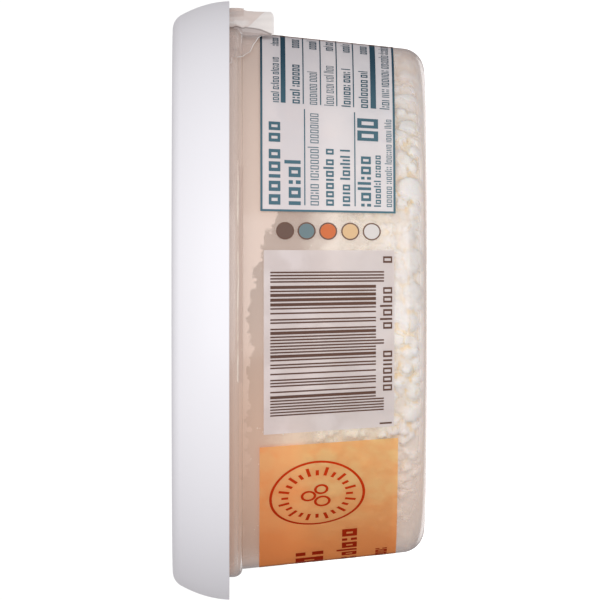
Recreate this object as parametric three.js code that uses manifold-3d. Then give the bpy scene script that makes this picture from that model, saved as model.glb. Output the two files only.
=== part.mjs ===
// Round clear tub of crumbled goat cheese, shut by a film seal and a press-on lid.
// Millimetres, +Z up, the origin at the middle of the base on the table.
// Angles go round the tub from its shown side, which faces -Y, towards +X.
import * as THREE from "three";
import { mergeVertices } from "three/addons/utils/BufferGeometryUtils.js";
import Module from "manifold-3d";

const wasm = await Module();
wasm.setup();

// Every turned piece has the same facets, so that they nest
const FACETS = 48;

// Tub
const TUB_WALL = 0.7;
const FOOT_R = 43.79; // radius that the straight wall would have at the table
const TAPER = 0.1034; // growth of that radius for each mm of height
const CORNER_R = 4; // rounding between the wall and the base
const RECESS_R = 36; // raised middle of the base
const RECESS_H = 0.9;
const RECESS_SLOPE = 1.2;
const SHOULDER_Z = 31.8; // where the wall steps out under the lid
const SHOULDER_H = 1.7;
const COLLAR_R = 48.5;
const FLANGE_R = 49.3;
const FLANGE_TOP = 41;
const FLANGE_H = 1;
const FLANGE_INNER_R = 47.8;

// Lid
const LID_WALL = 0.9;
const LID_RIM_R = 52.45;
const LID_RIM_Z = 34.07;
const LID_TOP = 44;
const LID_DRAFT = 0.031; // how fast the skirt leans in at its rim
const LID_BOW = 0.0306; // and how much faster with each mm of height
const SKIRT_TOP = 42.47; // where the top edge's rounding starts
const EDGE_R = 2.9;
const STACKING_RING_R = 46.6; // inner edge of the raised ring
const PANEL_DROP = 1.2; // how far the middle lies below that ring
const PANEL_SLOPE = 1.8;
const BEAD_Z = 39.3; // snap bead inside the skirt
const BEAD_H = 0.8;
const BEAD_OUT = 1.3;

// Film seal with its pull tab
const FILM = 0.12;
const SEAL_R = 49.1;
const SEAL_H = 0.2;
const SEAL_LIFT = 0.05; // clearance over the flange
const TAB_FROM = 67.5; // degrees round the tub
const TAB_CORNER = 82.5; // where its free end starts to round off
const TAB_TO = 105;
const TAB_STEP = 360 / FACETS;
const TAB_R = 50.6; // how far out it hangs at the lid's rim
const TAB_END_Z = 26.2;
const TAB_BACK_Z = 31.6; // short stretch behind the rounded corner
const TAB_WAVE = 0.35;
const SEAM_LAP = 0.6; // overlap of tab and seal
const FLANGE_PLAY = 0.1; // clearance of the tab where it turns down round the flange
// Its way from there to the lid's rim: how far out of the collar, how far under the flange
const TAB_ROUTE = [
  [0.35, 0.6],
  [0.45, 1.1],
  [1.5, 2.7],
  [1.95, 4.4],
];
// The hanging stretch: share of its length, and how far its end curls in
const TAB_HANG = [
  [0, 0],
  [0.5, 0],
  [1, 0.4],
];
const TUCK_FROM = 56.25; // where the loose film runs out against the collar
const TUCK_R = 48.7;
const TUCK_Z = 33;

// Cheese
const SEED = 20611;
const CHEESE_GAP = 0.25; // clearance to the tub
const CORE_INSET = 2.1; // how far the core lies behind the crumbles
const CHEESE_TOP = 22.5;
const CORE_RINGS = [4, 8, 14, 18.5]; // heights up its side
// Its top, from the edge to the middle: radius, and drop below the highest level
const CORE_TOP = [
  [40, 2],
  [30, 0.5],
  [16, 0],
];
const TOP_SWELL = 0.9; // how far the top of the core rolls up and down
const TOP_SWELL_DEPTH = 3; // how much of its top takes part in that
const WALL_CRUMBLES = 96;
const TOP_CRUMBLES = 30;
const CRUMBLE_LARGE = 3.0; // half sizes
const CRUMBLE_SMALL = 2.1;
const LUMPINESS = 0.16;
const CRUMBLE_PRESS = 0.75; // distance of a crumble's middle to the wall, in half sizes
const LOWEST_CRUMBLE = 2.6; // height of its middle
const FOOT_SINK = 0.6; // how far the crumbles reach down into the foot
const TOP_SPREAD_R = 41;

const DEG = Math.PI / 180;

// Small helpers

function randomFrom(seed) {
  let state = seed >>> 0;
  return () => {
    state = (state + 0x6d2b79f5) >>> 0;
    let t = Math.imul(state ^ (state >>> 15), 1 | state);
    t = (t + Math.imul(t ^ (t >>> 7), 61 | t)) ^ t;
    return ((t ^ (t >>> 14)) >>> 0) / 4294967296;
  };
}

function smooth(t) {
  const s = THREE.MathUtils.clamp(t, 0, 1);
  return s * s * (3 - 2 * s);
}

// Points of an arc in the radius-height plane, angles from +r towards +z
function arc(r, z, radius, from, to, steps) {
  const points = [];
  for (let i = 0; i <= steps; i++) {
    const a = THREE.MathUtils.lerp(from, to, i / steps) * DEG;
    points.push(new THREE.Vector2(r + radius * Math.cos(a), z + radius * Math.sin(a)));
  }
  return points;
}

// The same line moved sideways, to the left of its direction, with mitred corners
function offset(line, distance) {
  const left = (a, b) => new THREE.Vector2(a.y - b.y, b.x - a.x).normalize();
  return line.map((p, i) => {
    const before = i > 0 ? left(line[i - 1], p) : left(p, line[i + 1]);
    const after = i < line.length - 1 ? left(p, line[i + 1]) : before;
    const normal = before.clone().add(after).normalize();
    return p.clone().addScaledVector(normal, distance / normal.dot(before));
  });
}

// Turns a closed profile, its points in order round the section, into a solid of revolution
function turned(profile) {
  const loop = [...profile, profile[0]];
  const solid = new THREE.LatheGeometry(loop, FACETS);
  solid.rotateX(Math.PI / 2);
  return solid;
}

function positionsOnly(geometry) {
  const bare = geometry.clone();
  bare.deleteAttribute("normal");
  bare.deleteAttribute("uv");
  return mergeVertices(bare, 1e-4);
}

function toManifold(geometry) {
  const merged = positionsOnly(geometry);
  const index = merged.index.array;
  const kept = [];
  for (let i = 0; i < index.length; i += 3) {
    const [a, b, c] = [index[i], index[i + 1], index[i + 2]];
    if (a !== b && b !== c && c !== a) kept.push(a, b, c);
  }
  const mesh = new wasm.Mesh({
    numProp: 3,
    vertProperties: Float32Array.from(merged.attributes.position.array),
    triVerts: Uint32Array.from(kept),
  });
  return new wasm.Manifold(mesh);
}

function toGeometry(manifold) {
  const mesh = manifold.getMesh();
  const geometry = new THREE.BufferGeometry();
  geometry.setAttribute("position", new THREE.BufferAttribute(mesh.vertProperties, 3));
  geometry.setIndex(new THREE.BufferAttribute(mesh.triVerts, 1));
  geometry.computeVertexNormals();
  return geometry;
}

// The largest body of a solid, without the scraps that touch nothing
function largestBody(manifold) {
  const bodies = manifold.decompose();
  bodies.sort((a, b) => b.volume() - a.volume());
  return bodies[0];
}

// Tub: base, rounded corner, tapered wall, shoulder, straight collar and sealing flange

function tubOutside() {
  const cornerCentre = FOOT_R + TAPER * CORNER_R - CORNER_R * Math.hypot(1, TAPER);
  const lean = Math.atan(TAPER) / DEG;
  const line = [
    new THREE.Vector2(0, RECESS_H),
    new THREE.Vector2(RECESS_R, RECESS_H),
    new THREE.Vector2(RECESS_R + RECESS_SLOPE, 0),
    ...arc(cornerCentre, CORNER_R, CORNER_R, -90, -lean, 5),
  ];
  const shoulderInnerR = FOOT_R + TAPER * SHOULDER_Z;
  for (let i = 0; i <= 4; i++) {
    const a = (i / 4) * 90 * DEG;
    line.push(
      new THREE.Vector2(
        shoulderInnerR + (COLLAR_R - shoulderInnerR) * Math.sin(a),
        SHOULDER_Z + SHOULDER_H * (1 - Math.cos(a)),
      ),
    );
  }
  line.push(new THREE.Vector2(COLLAR_R, FLANGE_TOP - FLANGE_H));
  return line;
}

function tub() {
  const outside = tubOutside();
  const inside = offset(outside, TUB_WALL);
  const flange = [
    new THREE.Vector2(FLANGE_R, FLANGE_TOP - FLANGE_H),
    new THREE.Vector2(FLANGE_R, FLANGE_TOP),
    new THREE.Vector2(FLANGE_INNER_R, FLANGE_TOP),
  ];
  return turned([...outside, ...flange, ...inside.reverse()]);
}

// Lid: bowed skirt, rounded edge, stacking ring and sunk middle, with a snap bead inside

function lidOutside() {
  const line = [];
  const skirtSteps = 7;
  for (let i = 0; i <= skirtSteps; i++) {
    const h = ((SKIRT_TOP - LID_RIM_Z) * i) / skirtSteps;
    line.push(new THREE.Vector2(LID_RIM_R - LID_DRAFT * h - LID_BOW * h * h, LID_RIM_Z + h));
  }
  const lean = Math.atan(LID_DRAFT + 2 * LID_BOW * (SKIRT_TOP - LID_RIM_Z)) / DEG;
  const edge = line[skirtSteps].x - EDGE_R * Math.cos(lean * DEG);
  line.push(...arc(edge, LID_TOP - EDGE_R, EDGE_R, lean, 90, 4).slice(1));
  for (let i = 0; i <= 3; i++) {
    const t = i / 3;
    line.push(
      new THREE.Vector2(STACKING_RING_R - PANEL_SLOPE * t, LID_TOP - PANEL_DROP * smooth(t)),
    );
  }
  line.push(new THREE.Vector2(0, LID_TOP - PANEL_DROP));
  return line;
}

function lid() {
  const outside = lidOutside();
  const inside = offset(outside, LID_WALL).map((p) => {
    const bead = Math.max(0, 1 - Math.abs(p.y - BEAD_Z) / BEAD_H);
    return new THREE.Vector2(p.x - BEAD_OUT * bead, p.y);
  });
  return turned([...outside, ...inside.reverse()]);
}

// Seal: a flat film over the flange, and a tab of it that hangs out under the lid's rim

// Radius and height of the film's tub side inside the lid: over the flange, in under it and out
function hiddenFilm(tuck) {
  const seam = FLANGE_TOP + SEAL_LIFT + (SEAL_H - FILM) / 2;
  const under = FLANGE_TOP - FLANGE_H;
  const line = [
    new THREE.Vector2(SEAL_R - SEAM_LAP, seam),
    new THREE.Vector2(FLANGE_R + FLANGE_PLAY, seam),
    new THREE.Vector2(FLANGE_R + FLANGE_PLAY, under - FLANGE_PLAY),
  ];
  for (const [out, down] of TAB_ROUTE) {
    line.push(new THREE.Vector2(THREE.MathUtils.lerp(COLLAR_R + out, TUCK_R, tuck), under - down));
  }
  return line;
}

// Lowest point of the tab at an angle, with its corner rounded off on the far side
function tabEnd(angle) {
  const past = THREE.MathUtils.clamp((angle - TAB_CORNER) / (2 * TAB_STEP), 0, 1);
  return THREE.MathUtils.lerp(TAB_END_Z, TAB_BACK_Z, past * past);
}

function tabColumn(angle) {
  const tuck = smooth((TAB_FROM - angle) / (TAB_FROM - TUCK_FROM));
  const end = THREE.MathUtils.lerp(tabEnd(angle), TUCK_Z, tuck);
  const line = hiddenFilm(tuck);
  for (const [down, curl] of TAB_HANG) {
    const wave = TAB_WAVE * Math.sin(((angle - TAB_FROM) * 8 + down * 60) * DEG);
    const r = THREE.MathUtils.lerp(TAB_R - curl + wave, TUCK_R - 0.3 * curl, tuck);
    line.push(new THREE.Vector2(r, THREE.MathUtils.lerp(LID_RIM_Z, end, down)));
  }
  return { angle, near: line, far: offset(line, FILM) };
}

// A closed sheet through columns of points, near and far side, joined round its four edges
function sheet(columns) {
  const rows = columns[0].near.length;
  const positions = [];
  for (const { angle, near, far } of columns) {
    for (const p of [...near, ...far]) {
      positions.push(p.x * Math.sin(angle * DEG), -p.x * Math.cos(angle * DEG), p.y);
    }
  }
  const near = (i, j) => i * 2 * rows + j;
  const far = (i, j) => near(i, j) + rows;
  const faces = [];
  const quad = (a, b, c, d) => faces.push(a, b, c, a, c, d);
  for (let i = 0; i + 1 < columns.length; i++) {
    for (let j = 0; j + 1 < rows; j++) {
      quad(far(i, j), far(i, j + 1), far(i + 1, j + 1), far(i + 1, j));
      quad(near(i, j), near(i + 1, j), near(i + 1, j + 1), near(i, j + 1));
    }
    quad(near(i, 0), far(i, 0), far(i + 1, 0), near(i + 1, 0));
    quad(near(i, rows - 1), near(i + 1, rows - 1), far(i + 1, rows - 1), far(i, rows - 1));
  }
  const last = columns.length - 1;
  for (let j = 0; j + 1 < rows; j++) {
    quad(near(0, j), near(0, j + 1), far(0, j + 1), far(0, j));
    quad(near(last, j), far(last, j), far(last, j + 1), near(last, j + 1));
  }
  const geometry = new THREE.BufferGeometry();
  geometry.setAttribute("position", new THREE.Float32BufferAttribute(positions, 3));
  geometry.setIndex(faces);
  return geometry;
}

function seal() {
  const low = FLANGE_TOP + SEAL_LIFT;
  const disc = turned([
    new THREE.Vector2(0, low),
    new THREE.Vector2(SEAL_R, low),
    new THREE.Vector2(SEAL_R, low + SEAL_H),
    new THREE.Vector2(0, low + SEAL_H),
  ]);
  const columns = [tabColumn(TUCK_FROM)];
  for (let angle = TAB_FROM - TAB_STEP; angle <= TAB_TO + 0.01; angle += TAB_STEP) {
    columns.push(tabColumn(angle));
  }
  const tab = toManifold(sheet(columns));
  return toGeometry(largestBody(toManifold(disc).add(tab)));
}

// Cheese: a smaller core with the crumbles that show fused on, pressed flat by the wall

// Room that the tub leaves at a height, to the middle of a facet
function roomAt(z) {
  const flat = Math.cos(Math.PI / FACETS);
  const wall = FOOT_R + TAPER * z - TUB_WALL * Math.hypot(1, TAPER);
  const centre = FOOT_R + TAPER * CORNER_R - CORNER_R * Math.hypot(1, TAPER);
  const inner = CORNER_R - TUB_WALL;
  const below = Math.max(0, CORNER_R - z);
  const corner = centre + Math.sqrt(Math.max(0, inner * inner - below * below));
  return Math.min(wall, z < CORNER_R ? corner : wall) * flat - CHEESE_GAP;
}

const CHEESE_FLOOR = RECESS_H + TUB_WALL + CHEESE_GAP;

function cheeseCore() {
  const line = [new THREE.Vector2(0, CHEESE_FLOOR)];
  for (const z of [CHEESE_FLOOR, ...CORE_RINGS]) {
    line.push(new THREE.Vector2(roomAt(z) - CORE_INSET, z));
  }
  for (const [r, drop] of CORE_TOP) line.push(new THREE.Vector2(r, CHEESE_TOP - drop));
  line.push(new THREE.Vector2(0, CHEESE_TOP));
  const core = turned(line);
  const position = core.attributes.position;
  for (let i = 0; i < position.count; i++) {
    const [x, y, z] = [position.getX(i), position.getY(i), position.getZ(i)];
    const swell = Math.sin(x * 0.11 + 1) * Math.cos(y * 0.13) + Math.sin(x * 0.05 - y * 0.07);
    if (z > CHEESE_TOP - TOP_SWELL_DEPTH) position.setZ(i, z + TOP_SWELL * swell);
  }
  return core;
}

// One lump with few sides, kept inside the tub by flattening what would cross the wall
function crumble(centre, half, random) {
  const lump = new THREE.IcosahedronGeometry(1, 0);
  const merged = positionsOnly(lump);
  const squash = new THREE.Vector3(1, 0.8 + 0.3 * random(), 0.75 + 0.3 * random());
  const turn = new THREE.Euler(random() * 6.3, random() * 6.3, random() * 6.3);
  const position = merged.attributes.position;
  const p = new THREE.Vector3();
  for (let i = 0; i < position.count; i++) {
    p.fromBufferAttribute(position, i).multiply(squash);
    p.multiplyScalar(half * (1 + LUMPINESS * (random() - 0.5) * 2)).applyEuler(turn).add(centre);
    const overFoot = Math.hypot(p.x, p.y) > RECESS_R + 2;
    p.z = Math.max(p.z, CHEESE_FLOOR - (overFoot ? FOOT_SINK : 0));
    const reach = Math.hypot(p.x, p.y);
    const room = roomAt(p.z);
    if (reach > room) p.set((p.x * room) / reach, (p.y * room) / reach, p.z);
    position.setXYZ(i, p.x, p.y, p.z);
  }
  return toManifold(merged);
}

// Places that stay evenly spread however many are taken, as fractions of a turn and a height
function place(k) {
  return [(k * 0.7548776662 + 0.5) % 1, (k * 0.569840291 + 0.5) % 1];
}

function crumbles() {
  const random = randomFrom(SEED);
  const lumps = [];
  for (let k = 0; k < WALL_CRUMBLES; k++) {
    const [turn, rise] = place(k);
    const half = THREE.MathUtils.lerp(CRUMBLE_LARGE, CRUMBLE_SMALL, k / WALL_CRUMBLES);
    const z = THREE.MathUtils.lerp(LOWEST_CRUMBLE, CHEESE_TOP, rise);
    const r = roomAt(z) - CRUMBLE_PRESS * half;
    const a = turn * 2 * Math.PI;
    lumps.push(crumble(new THREE.Vector3(r * Math.sin(a), -r * Math.cos(a), z), half, random));
  }
  for (let k = 0; k < TOP_CRUMBLES; k++) {
    const [turn, out] = place(k);
    const half = THREE.MathUtils.lerp(CRUMBLE_LARGE, CRUMBLE_SMALL, k / TOP_CRUMBLES);
    const r = TOP_SPREAD_R * Math.sqrt(out);
    const a = turn * 2 * Math.PI;
    const z = CHEESE_TOP - 0.6 + random();
    lumps.push(crumble(new THREE.Vector3(r * Math.sin(a), -r * Math.cos(a), z), half, random));
  }
  return lumps;
}

function cheese() {
  const heap = wasm.Manifold.union([toManifold(cheeseCore()), ...crumbles()]);
  return toGeometry(largestBody(heap));
}

// The whole object

const finish = (color, roughness) => new THREE.MeshStandardMaterial({ color, roughness, metalness: 0 });

function piece(name, geometry, material) {
  const mesh = new THREE.Mesh(geometry, material);
  mesh.name = name;
  return mesh;
}

const pack = new THREE.Group();
pack.add(piece("tub", tub(), finish(0xd8c4b8, 0.25)));
pack.add(piece("lid", lid(), finish(0xf0f0f4, 0.45)));
pack.add(piece("seal_film", seal(), finish(0xe6dad6, 0.2)));
pack.add(piece("cheese", cheese(), finish(0xe8e2d8, 0.8)));

export default pack;
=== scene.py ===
# %% [markdown]
# A tub of crumbled goat cheese, dressed in Blender. The solids of the part come in first
# and stay where they are: tub, lid, film seal and cheese. Each is round to within a few
# tenths of a millimetre, but has only 48 sides, so this lesson turns finer ones of the same
# size and hangs the finish, the print and the real crumbles on them.
# The tub stands upright. The reference view looks at its side with the picture turned a
# quarter, so that the lid is on the left: only the camera is rolled, never the tub.

# %% Load the solids
import math
import random

import bmesh
import bpy
import numpy as np
from mathutils import Matrix, Vector, noise


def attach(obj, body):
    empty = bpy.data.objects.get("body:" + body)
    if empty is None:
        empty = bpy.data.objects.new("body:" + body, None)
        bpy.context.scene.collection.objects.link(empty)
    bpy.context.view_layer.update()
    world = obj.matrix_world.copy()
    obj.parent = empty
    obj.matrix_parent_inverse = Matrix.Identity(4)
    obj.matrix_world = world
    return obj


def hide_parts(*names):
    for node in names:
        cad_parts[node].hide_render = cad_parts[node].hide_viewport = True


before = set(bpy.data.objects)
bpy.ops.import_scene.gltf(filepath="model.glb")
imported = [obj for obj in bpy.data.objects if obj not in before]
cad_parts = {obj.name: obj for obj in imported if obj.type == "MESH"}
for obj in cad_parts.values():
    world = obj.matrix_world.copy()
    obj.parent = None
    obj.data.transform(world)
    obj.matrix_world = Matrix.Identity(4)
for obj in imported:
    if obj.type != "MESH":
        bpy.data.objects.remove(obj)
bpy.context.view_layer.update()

# %% [markdown]
# Everything on this tub is round, so places are easiest to say as a distance from the
# middle, a turn from the shown side towards the right hand, and a height over the table.
# Sizes are in millimetres, as a tub maker would give them, and `spot` turns them into
# Blender's metres in one place.

# %% Places on a round tub
MM = 0.001
BODY = "root"


def spot(radius, turn, height):
    a = math.radians(turn)
    return Vector((radius * math.sin(a), -radius * math.cos(a), height)) * MM


def smooth(t):
    t = min(1.0, max(0.0, t))
    return t * t * (3 - 2 * t)


def mix(a, b, t):
    return a + (b - a) * t


def arc(radius, height, bend, start, end, steps):
    angles = [math.radians(mix(start, end, i / steps)) for i in range(steps + 1)]
    return [(radius + bend * math.cos(a), height + bend * math.sin(a)) for a in angles]


print("a point on the shown side:", tuple(round(c, 4) for c in spot(46, 0, 20)))

# %% [markdown]
# The wall of the tub is a straight cone that widens a little over one millimetre in ten,
# so that empty tubs stack. It ends in a rounded foot below and in a stepped collar above,
# which the lid grips. These few numbers are the same as those of the solids.

# %% Sizes of the tub and its lid
WALL = 0.7
FOOT_R = 43.79
TAPER = 0.1034
CORNER_R = 4.0
RECESS_R, RECESS_H, RECESS_SLOPE = 36.0, 0.9, 1.2
SHOULDER_Z, SHOULDER_H = 31.8, 1.7
COLLAR_R, FLANGE_R, FLANGE_INNER_R = 48.5, 49.3, 47.8
FLANGE_TOP, FLANGE_H = 41.0, 1.0

LID_WALL = 0.9
LID_RIM_R, LID_RIM_Z, LID_TOP = 52.45, 34.07, 44.0
LID_DRAFT, LID_BOW = 0.031, 0.0306
SKIRT_TOP, EDGE_R = 42.47, 2.9
STACKING_RING_R, PANEL_DROP, PANEL_SLOPE = 46.6, 1.2, 1.8
BEAD_Z, BEAD_H, BEAD_OUT = 39.3, 0.8, 1.3

CORNER_CENTRE_R = FOOT_R + TAPER * CORNER_R - CORNER_R * math.hypot(1, TAPER)
LEAN = math.degrees(math.atan(TAPER))


def outer_wall(height):
    return FOOT_R + TAPER * height


def inner_wall(height):
    return outer_wall(height) - WALL * math.hypot(1, TAPER)


print("wall radius at the foot and under the lid:", outer_wall(4), outer_wall(SHOULDER_Z))

# %% [markdown]
# A few small mesh helpers do most of the building. `grid_faces` joins rows of points into
# a sheet of four-sided faces, `turned` spins a section round the middle line as on a lathe,
# and `store` keeps values at the points of a mesh for its finish to read. `settle` puts a
# finished mesh on the tub's body and hides the solids that it stands for.

# %% Mesh helpers
def new_object(name, points, faces, is_smooth=True):
    mesh = bpy.data.meshes.new(name)
    mesh.from_pydata(points, [], faces)
    mesh.validate()
    mesh.polygons.foreach_set("use_smooth", [is_smooth] * len(mesh.polygons))
    made = bpy.data.objects.new(name, mesh)
    bpy.context.scene.collection.objects.link(made)
    return made


def grid_faces(rows, columns, is_round, start=0):
    around = columns if is_round else columns - 1
    faces = []
    for i in range(rows - 1):
        for j in range(around):
            k = (j + 1) % columns
            low, high = start + i * columns, start + (i + 1) * columns
            faces.append((low + j, low + k, high + k, high + j))
    return faces


def face_outwards(thing):
    work = bmesh.new()
    work.from_mesh(thing.data)
    bmesh.ops.recalc_face_normals(work, faces=work.faces)
    work.to_mesh(thing.data)
    work.free()


def turned(name, section, steps, sharp=32):
    """Spins a closed section of (radius, height) points; points at radius 0 become one."""
    rings, points, faces = [], [], []
    for radius, height in section:
        if radius < 1e-6:
            rings.append([len(points)] * steps)
            points.append((0, 0, height * MM))
            continue
        rings.append(list(range(len(points), len(points) + steps)))
        points += [spot(radius, 360 * j / steps, height) for j in range(steps)]
    for a, b in zip(rings, rings[1:] + rings[:1]):
        for j in range(steps):
            k = (j + 1) % steps
            face = list(dict.fromkeys((a[j], a[k], b[k], b[j])))
            if len(face) > 2:
                faces.append(face)
    made = new_object(name, points, faces)
    face_outwards(made)
    made.data.set_sharp_from_angle(angle=math.radians(sharp))
    return made


def store(thing, names, rows):
    """Keeps named values at the points of a mesh; each row holds one point's values."""
    for name, values in zip(names, zip(*rows)):
        thing.data.attributes.new(name, "FLOAT", "POINT").data.foreach_set("value", values)


def settle(piece, slot, *solids):
    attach(piece, BODY)
    if solids:
        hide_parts(*solids)
    print(piece.name, "faces:", len(piece.data.polygons))


# %% [markdown]
# The camera stands a little over two metres off with a long lens, so that the tub shows
# almost no perspective, about level with the rim of its lid. It is rolled a quarter turn:
# what points up on the table points left in the picture.

# %% Camera
CAMERA_DISTANCE = 2.2
CAMERA_HEIGHT = 0.0336
AIM_HEIGHT = 0.0217
LENS, SENSOR = 753.0, 36.0

camera_data = bpy.data.cameras.new("photo_view")
camera_data.lens = LENS
camera_data.sensor_width = SENSOR
camera_data.clip_start, camera_data.clip_end = 0.1, 20
camera = bpy.data.objects.new("photo_view", camera_data)
bpy.context.scene.collection.objects.link(camera)
camera_place = Vector((0, -CAMERA_DISTANCE, CAMERA_HEIGHT))
back = (camera_place - Vector((0, 0, AIM_HEIGHT))).normalized()
up = Vector((1, 0, 0))
camera_turn = Matrix((up.cross(back), up, back)).transposed().to_4x4()
camera.matrix_world = Matrix.Translation(camera_place) @ camera_turn
bpy.context.scene.camera = camera
print("camera at", tuple(camera_place))

# %% [markdown]
# The light is what a small product studio uses: one very large soft source beside the
# camera, and white all round that fills the sides. The lid tells how strong each is: it
# is nearly white in the middle and only a fifth darker where it turns away. A weak glow
# from behind and below, as a bright table gives, lights the rim of the foot.
# The table is a plain white sheet. It glows a little, so that it reads as paper white even
# where it is seen edge on, and it still takes the tub's soft contact shadow.

# %% Light and table
FILL_LIGHT, FILL_COLOUR = 0.49, (1.0, 0.965, 0.98)
BACKDROP_LIGHT, BACKDROP_COLOUR = 1.05, (1, 1, 1)
KEY_PLACE, KEY_SIZE, KEY_POWER = (0.3, -2.6, 0.25), 3.2, 54.0
GLOW_PLACE, GLOW_SIZE, GLOW_POWER = (0.0, 2.3, -1.05), 1.3, 6.0
LAMPS_AIM = (0, 0, 0.02)
TABLE_HALF = 6.0

scene = bpy.context.scene
scene.view_settings.view_transform = "Standard"
world = bpy.data.worlds.new("white_studio")
scene.world = world
world.use_nodes = True
sky = world.node_tree
sky.nodes.clear()
which = sky.nodes.new("ShaderNodeMixShader")
rays = sky.nodes.new("ShaderNodeLightPath")
sky_out = sky.nodes.new("ShaderNodeOutputWorld")
sky.links.new(rays.outputs["Is Camera Ray"], which.inputs["Fac"])
for place, colour, strength in ((1, FILL_COLOUR, FILL_LIGHT), (2, BACKDROP_COLOUR, BACKDROP_LIGHT)):
    white = sky.nodes.new("ShaderNodeBackground")
    white.inputs["Color"].default_value = (*colour, 1)
    white.inputs["Strength"].default_value = strength
    sky.links.new(white.outputs[0], which.inputs[place])
sky.links.new(which.outputs[0], sky_out.inputs["Surface"])


def softbox(name, place, size, power):
    data = bpy.data.lights.new(name, "AREA")
    data.shape = "SQUARE"
    data.size = size
    data.energy = power
    lamp = bpy.data.objects.new(name, data)
    scene.collection.objects.link(lamp)
    lamp.location = place
    aim = Vector(LAMPS_AIM) - Vector(place)
    lamp.rotation_euler = aim.to_track_quat("-Z", "Y").to_euler()
    lamp.visible_camera = False


softbox("key_light", KEY_PLACE, KEY_SIZE, KEY_POWER)
softbox("table_glow", GLOW_PLACE, GLOW_SIZE, GLOW_POWER)

corners = [(x * TABLE_HALF, y * TABLE_HALF, 0) for x, y in ((-1, -1), (1, -1), (1, 1), (-1, 1))]
table = new_object("table", corners, [(0, 1, 2, 3)], False)
for kind_of_ray in ("diffuse", "glossy", "transmission", "shadow"):
    setattr(table, "visible_" + kind_of_ray, False)
print("key light of", KEY_POWER, "W, fill of", FILL_LIGHT)

# %% [markdown]
# Finishes are small node trees. `finish` starts one from a Principled shader whose even
# values sit on the shader itself, and `node` adds a node and joins what it is given.
# `relief` adds a fine bump, `laid_over` mixes two shaders, as paint over a ground, and
# `show` makes the outcome the one that is seen. Colours are linear light, so `shade` turns
# the 0 to 255 values that a picture program shows into what Blender wants.

# %% Finish helpers
def shade(red, green, blue):
    def linear(value):
        v = value / 255
        return v / 12.92 if v <= 0.04045 else ((v + 0.055) / 1.055) ** 2.4

    return (linear(red), linear(green), linear(blue), 1.0)


def finish(name, colour, roughness, **values):
    made = bpy.data.materials.new(name)
    made.use_nodes = True
    shader = made.node_tree.nodes["Principled BSDF"]
    shader.inputs["Base Color"].default_value = colour
    shader.inputs["Roughness"].default_value = roughness
    for key, value in values.items():
        shader.inputs[key.replace("_", " ")].default_value = value
    return made, shader


def join(material, value, socket):
    if isinstance(value, bpy.types.NodeSocket):
        material.node_tree.links.new(value, socket)
    else:
        socket.default_value = value


def node(material, kind, settings=None, **inputs):
    """Adds a node; an input goes by its name, or by its place as i0, i1 and so on."""
    made = material.node_tree.nodes.new("ShaderNode" + kind)
    for key, value in (settings or {}).items():
        setattr(made, key, value)
    for key, value in inputs.items():
        by_place = key[0] == "i" and key[1:].isdigit()
        join(material, value, made.inputs[int(key[1:]) if by_place else key.replace("_", " ")])
    return made


def relief(material, shader, height, depth_mm):
    bump = node(material, "Bump", Height=height, Strength=1.0, Distance=depth_mm * MM)
    join(material, bump.outputs[0], shader.inputs["Normal"])


def laid_over(material, share, under, over):
    return node(material, "MixShader", i0=share, i1=under.outputs[0], i2=over.outputs[0])


def show(material, shader):
    output = material.node_tree.nodes["Material Output"]
    join(material, shader.outputs[0], output.inputs["Surface"])


# %% [markdown]
# A tone seldom lies evenly. It goes by height, by distance from a middle, by noise, or by a
# value stored at the points of the mesh. Each of these is one number a point. `ramp` turns
# it into a share with soft ends, and `toned` lays tones over a colour by such shares.

# %% Helpers that say where a tone lies
def object_place(material):
    return node(material, "TexCoord").outputs["Object"]


def place_parts(material):
    """How far to the right, how deep and how high a point lies."""
    parts = node(material, "SeparateXYZ", Vector=object_place(material))
    return parts.outputs["X"], parts.outputs["Y"], parts.outputs["Z"]


def stored(material, name):
    return node(material, "Attribute", {"attribute_name": name}).outputs["Fac"]


def clouds(material, size_mm, detail=3.0, roughness=0.55):
    place, scale = object_place(material), 1 / (size_mm * MM)
    made = node(material, "TexNoise", Vector=place, Scale=scale, Detail=detail, Roughness=roughness)
    return made.outputs["Fac"]


def swayed_place(material, size_mm, sway_mm):
    """The point's place, swayed by noise, so that cells drawn there have no straight sides."""
    place, scale = object_place(material), 1 / (size_mm * MM)
    sway = node(material, "TexNoise", Vector=place, Scale=scale, Detail=3.0).outputs["Color"]
    bent = node(material, "VectorMath", {"operation": "MULTIPLY_ADD"}, i0=sway, i2=place)
    bent.inputs[1].default_value = (sway_mm * MM,) * 3
    return bent.outputs[0]


def maths(material, what, a, b=0.0, c=0.0):
    return node(material, "Math", {"operation": what}, i0=a, i1=b, i2=c).outputs[0]


def times(material, a, b):
    return maths(material, "MULTIPLY", a, b)


def from_middle(material, value, middle):
    return maths(material, "ABSOLUTE", maths(material, "SUBTRACT", value, middle))


def ramp(material, value, low, high, start=0.0, end=1.0):
    made = node(material, "MapRange", {"interpolation_type": "SMOOTHSTEP"}, Value=value)
    for key, at in (("From Min", low), ("From Max", high), ("To Min", start), ("To Max", end)):
        made.inputs[key].default_value = at
    return made.outputs[0]


def within(material, share, across, first, last):
    """Takes a share down to nothing in the millimetre beyond each end."""
    for end, past in ((first, first - MM), (last, last + MM)):
        share = times(material, share, ramp(material, across, past, end))
    return share


def between(material, share, one, two):
    made = node(material, "Mix", {"data_type": "RGBA"}, i0=share, i6=one, i7=two)
    return made.outputs[2]


def toned(material, colour, *tones):
    """Lays tones over a colour; each is (tone, value, none here, most here, most)."""
    for tone, value, low, high, most in tones:
        colour = between(material, ramp(material, value, low, high, 0.0, most), colour, tone)
    return colour


# %% [markdown]
# First the table's finish, then the lid's. The lid is satin white plastic: bright, very
# slightly cool, with the faint orange peel of a moulded part. Its roughness wanders a
# little, because a lid that has been handled isn't evenly dull.

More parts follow.
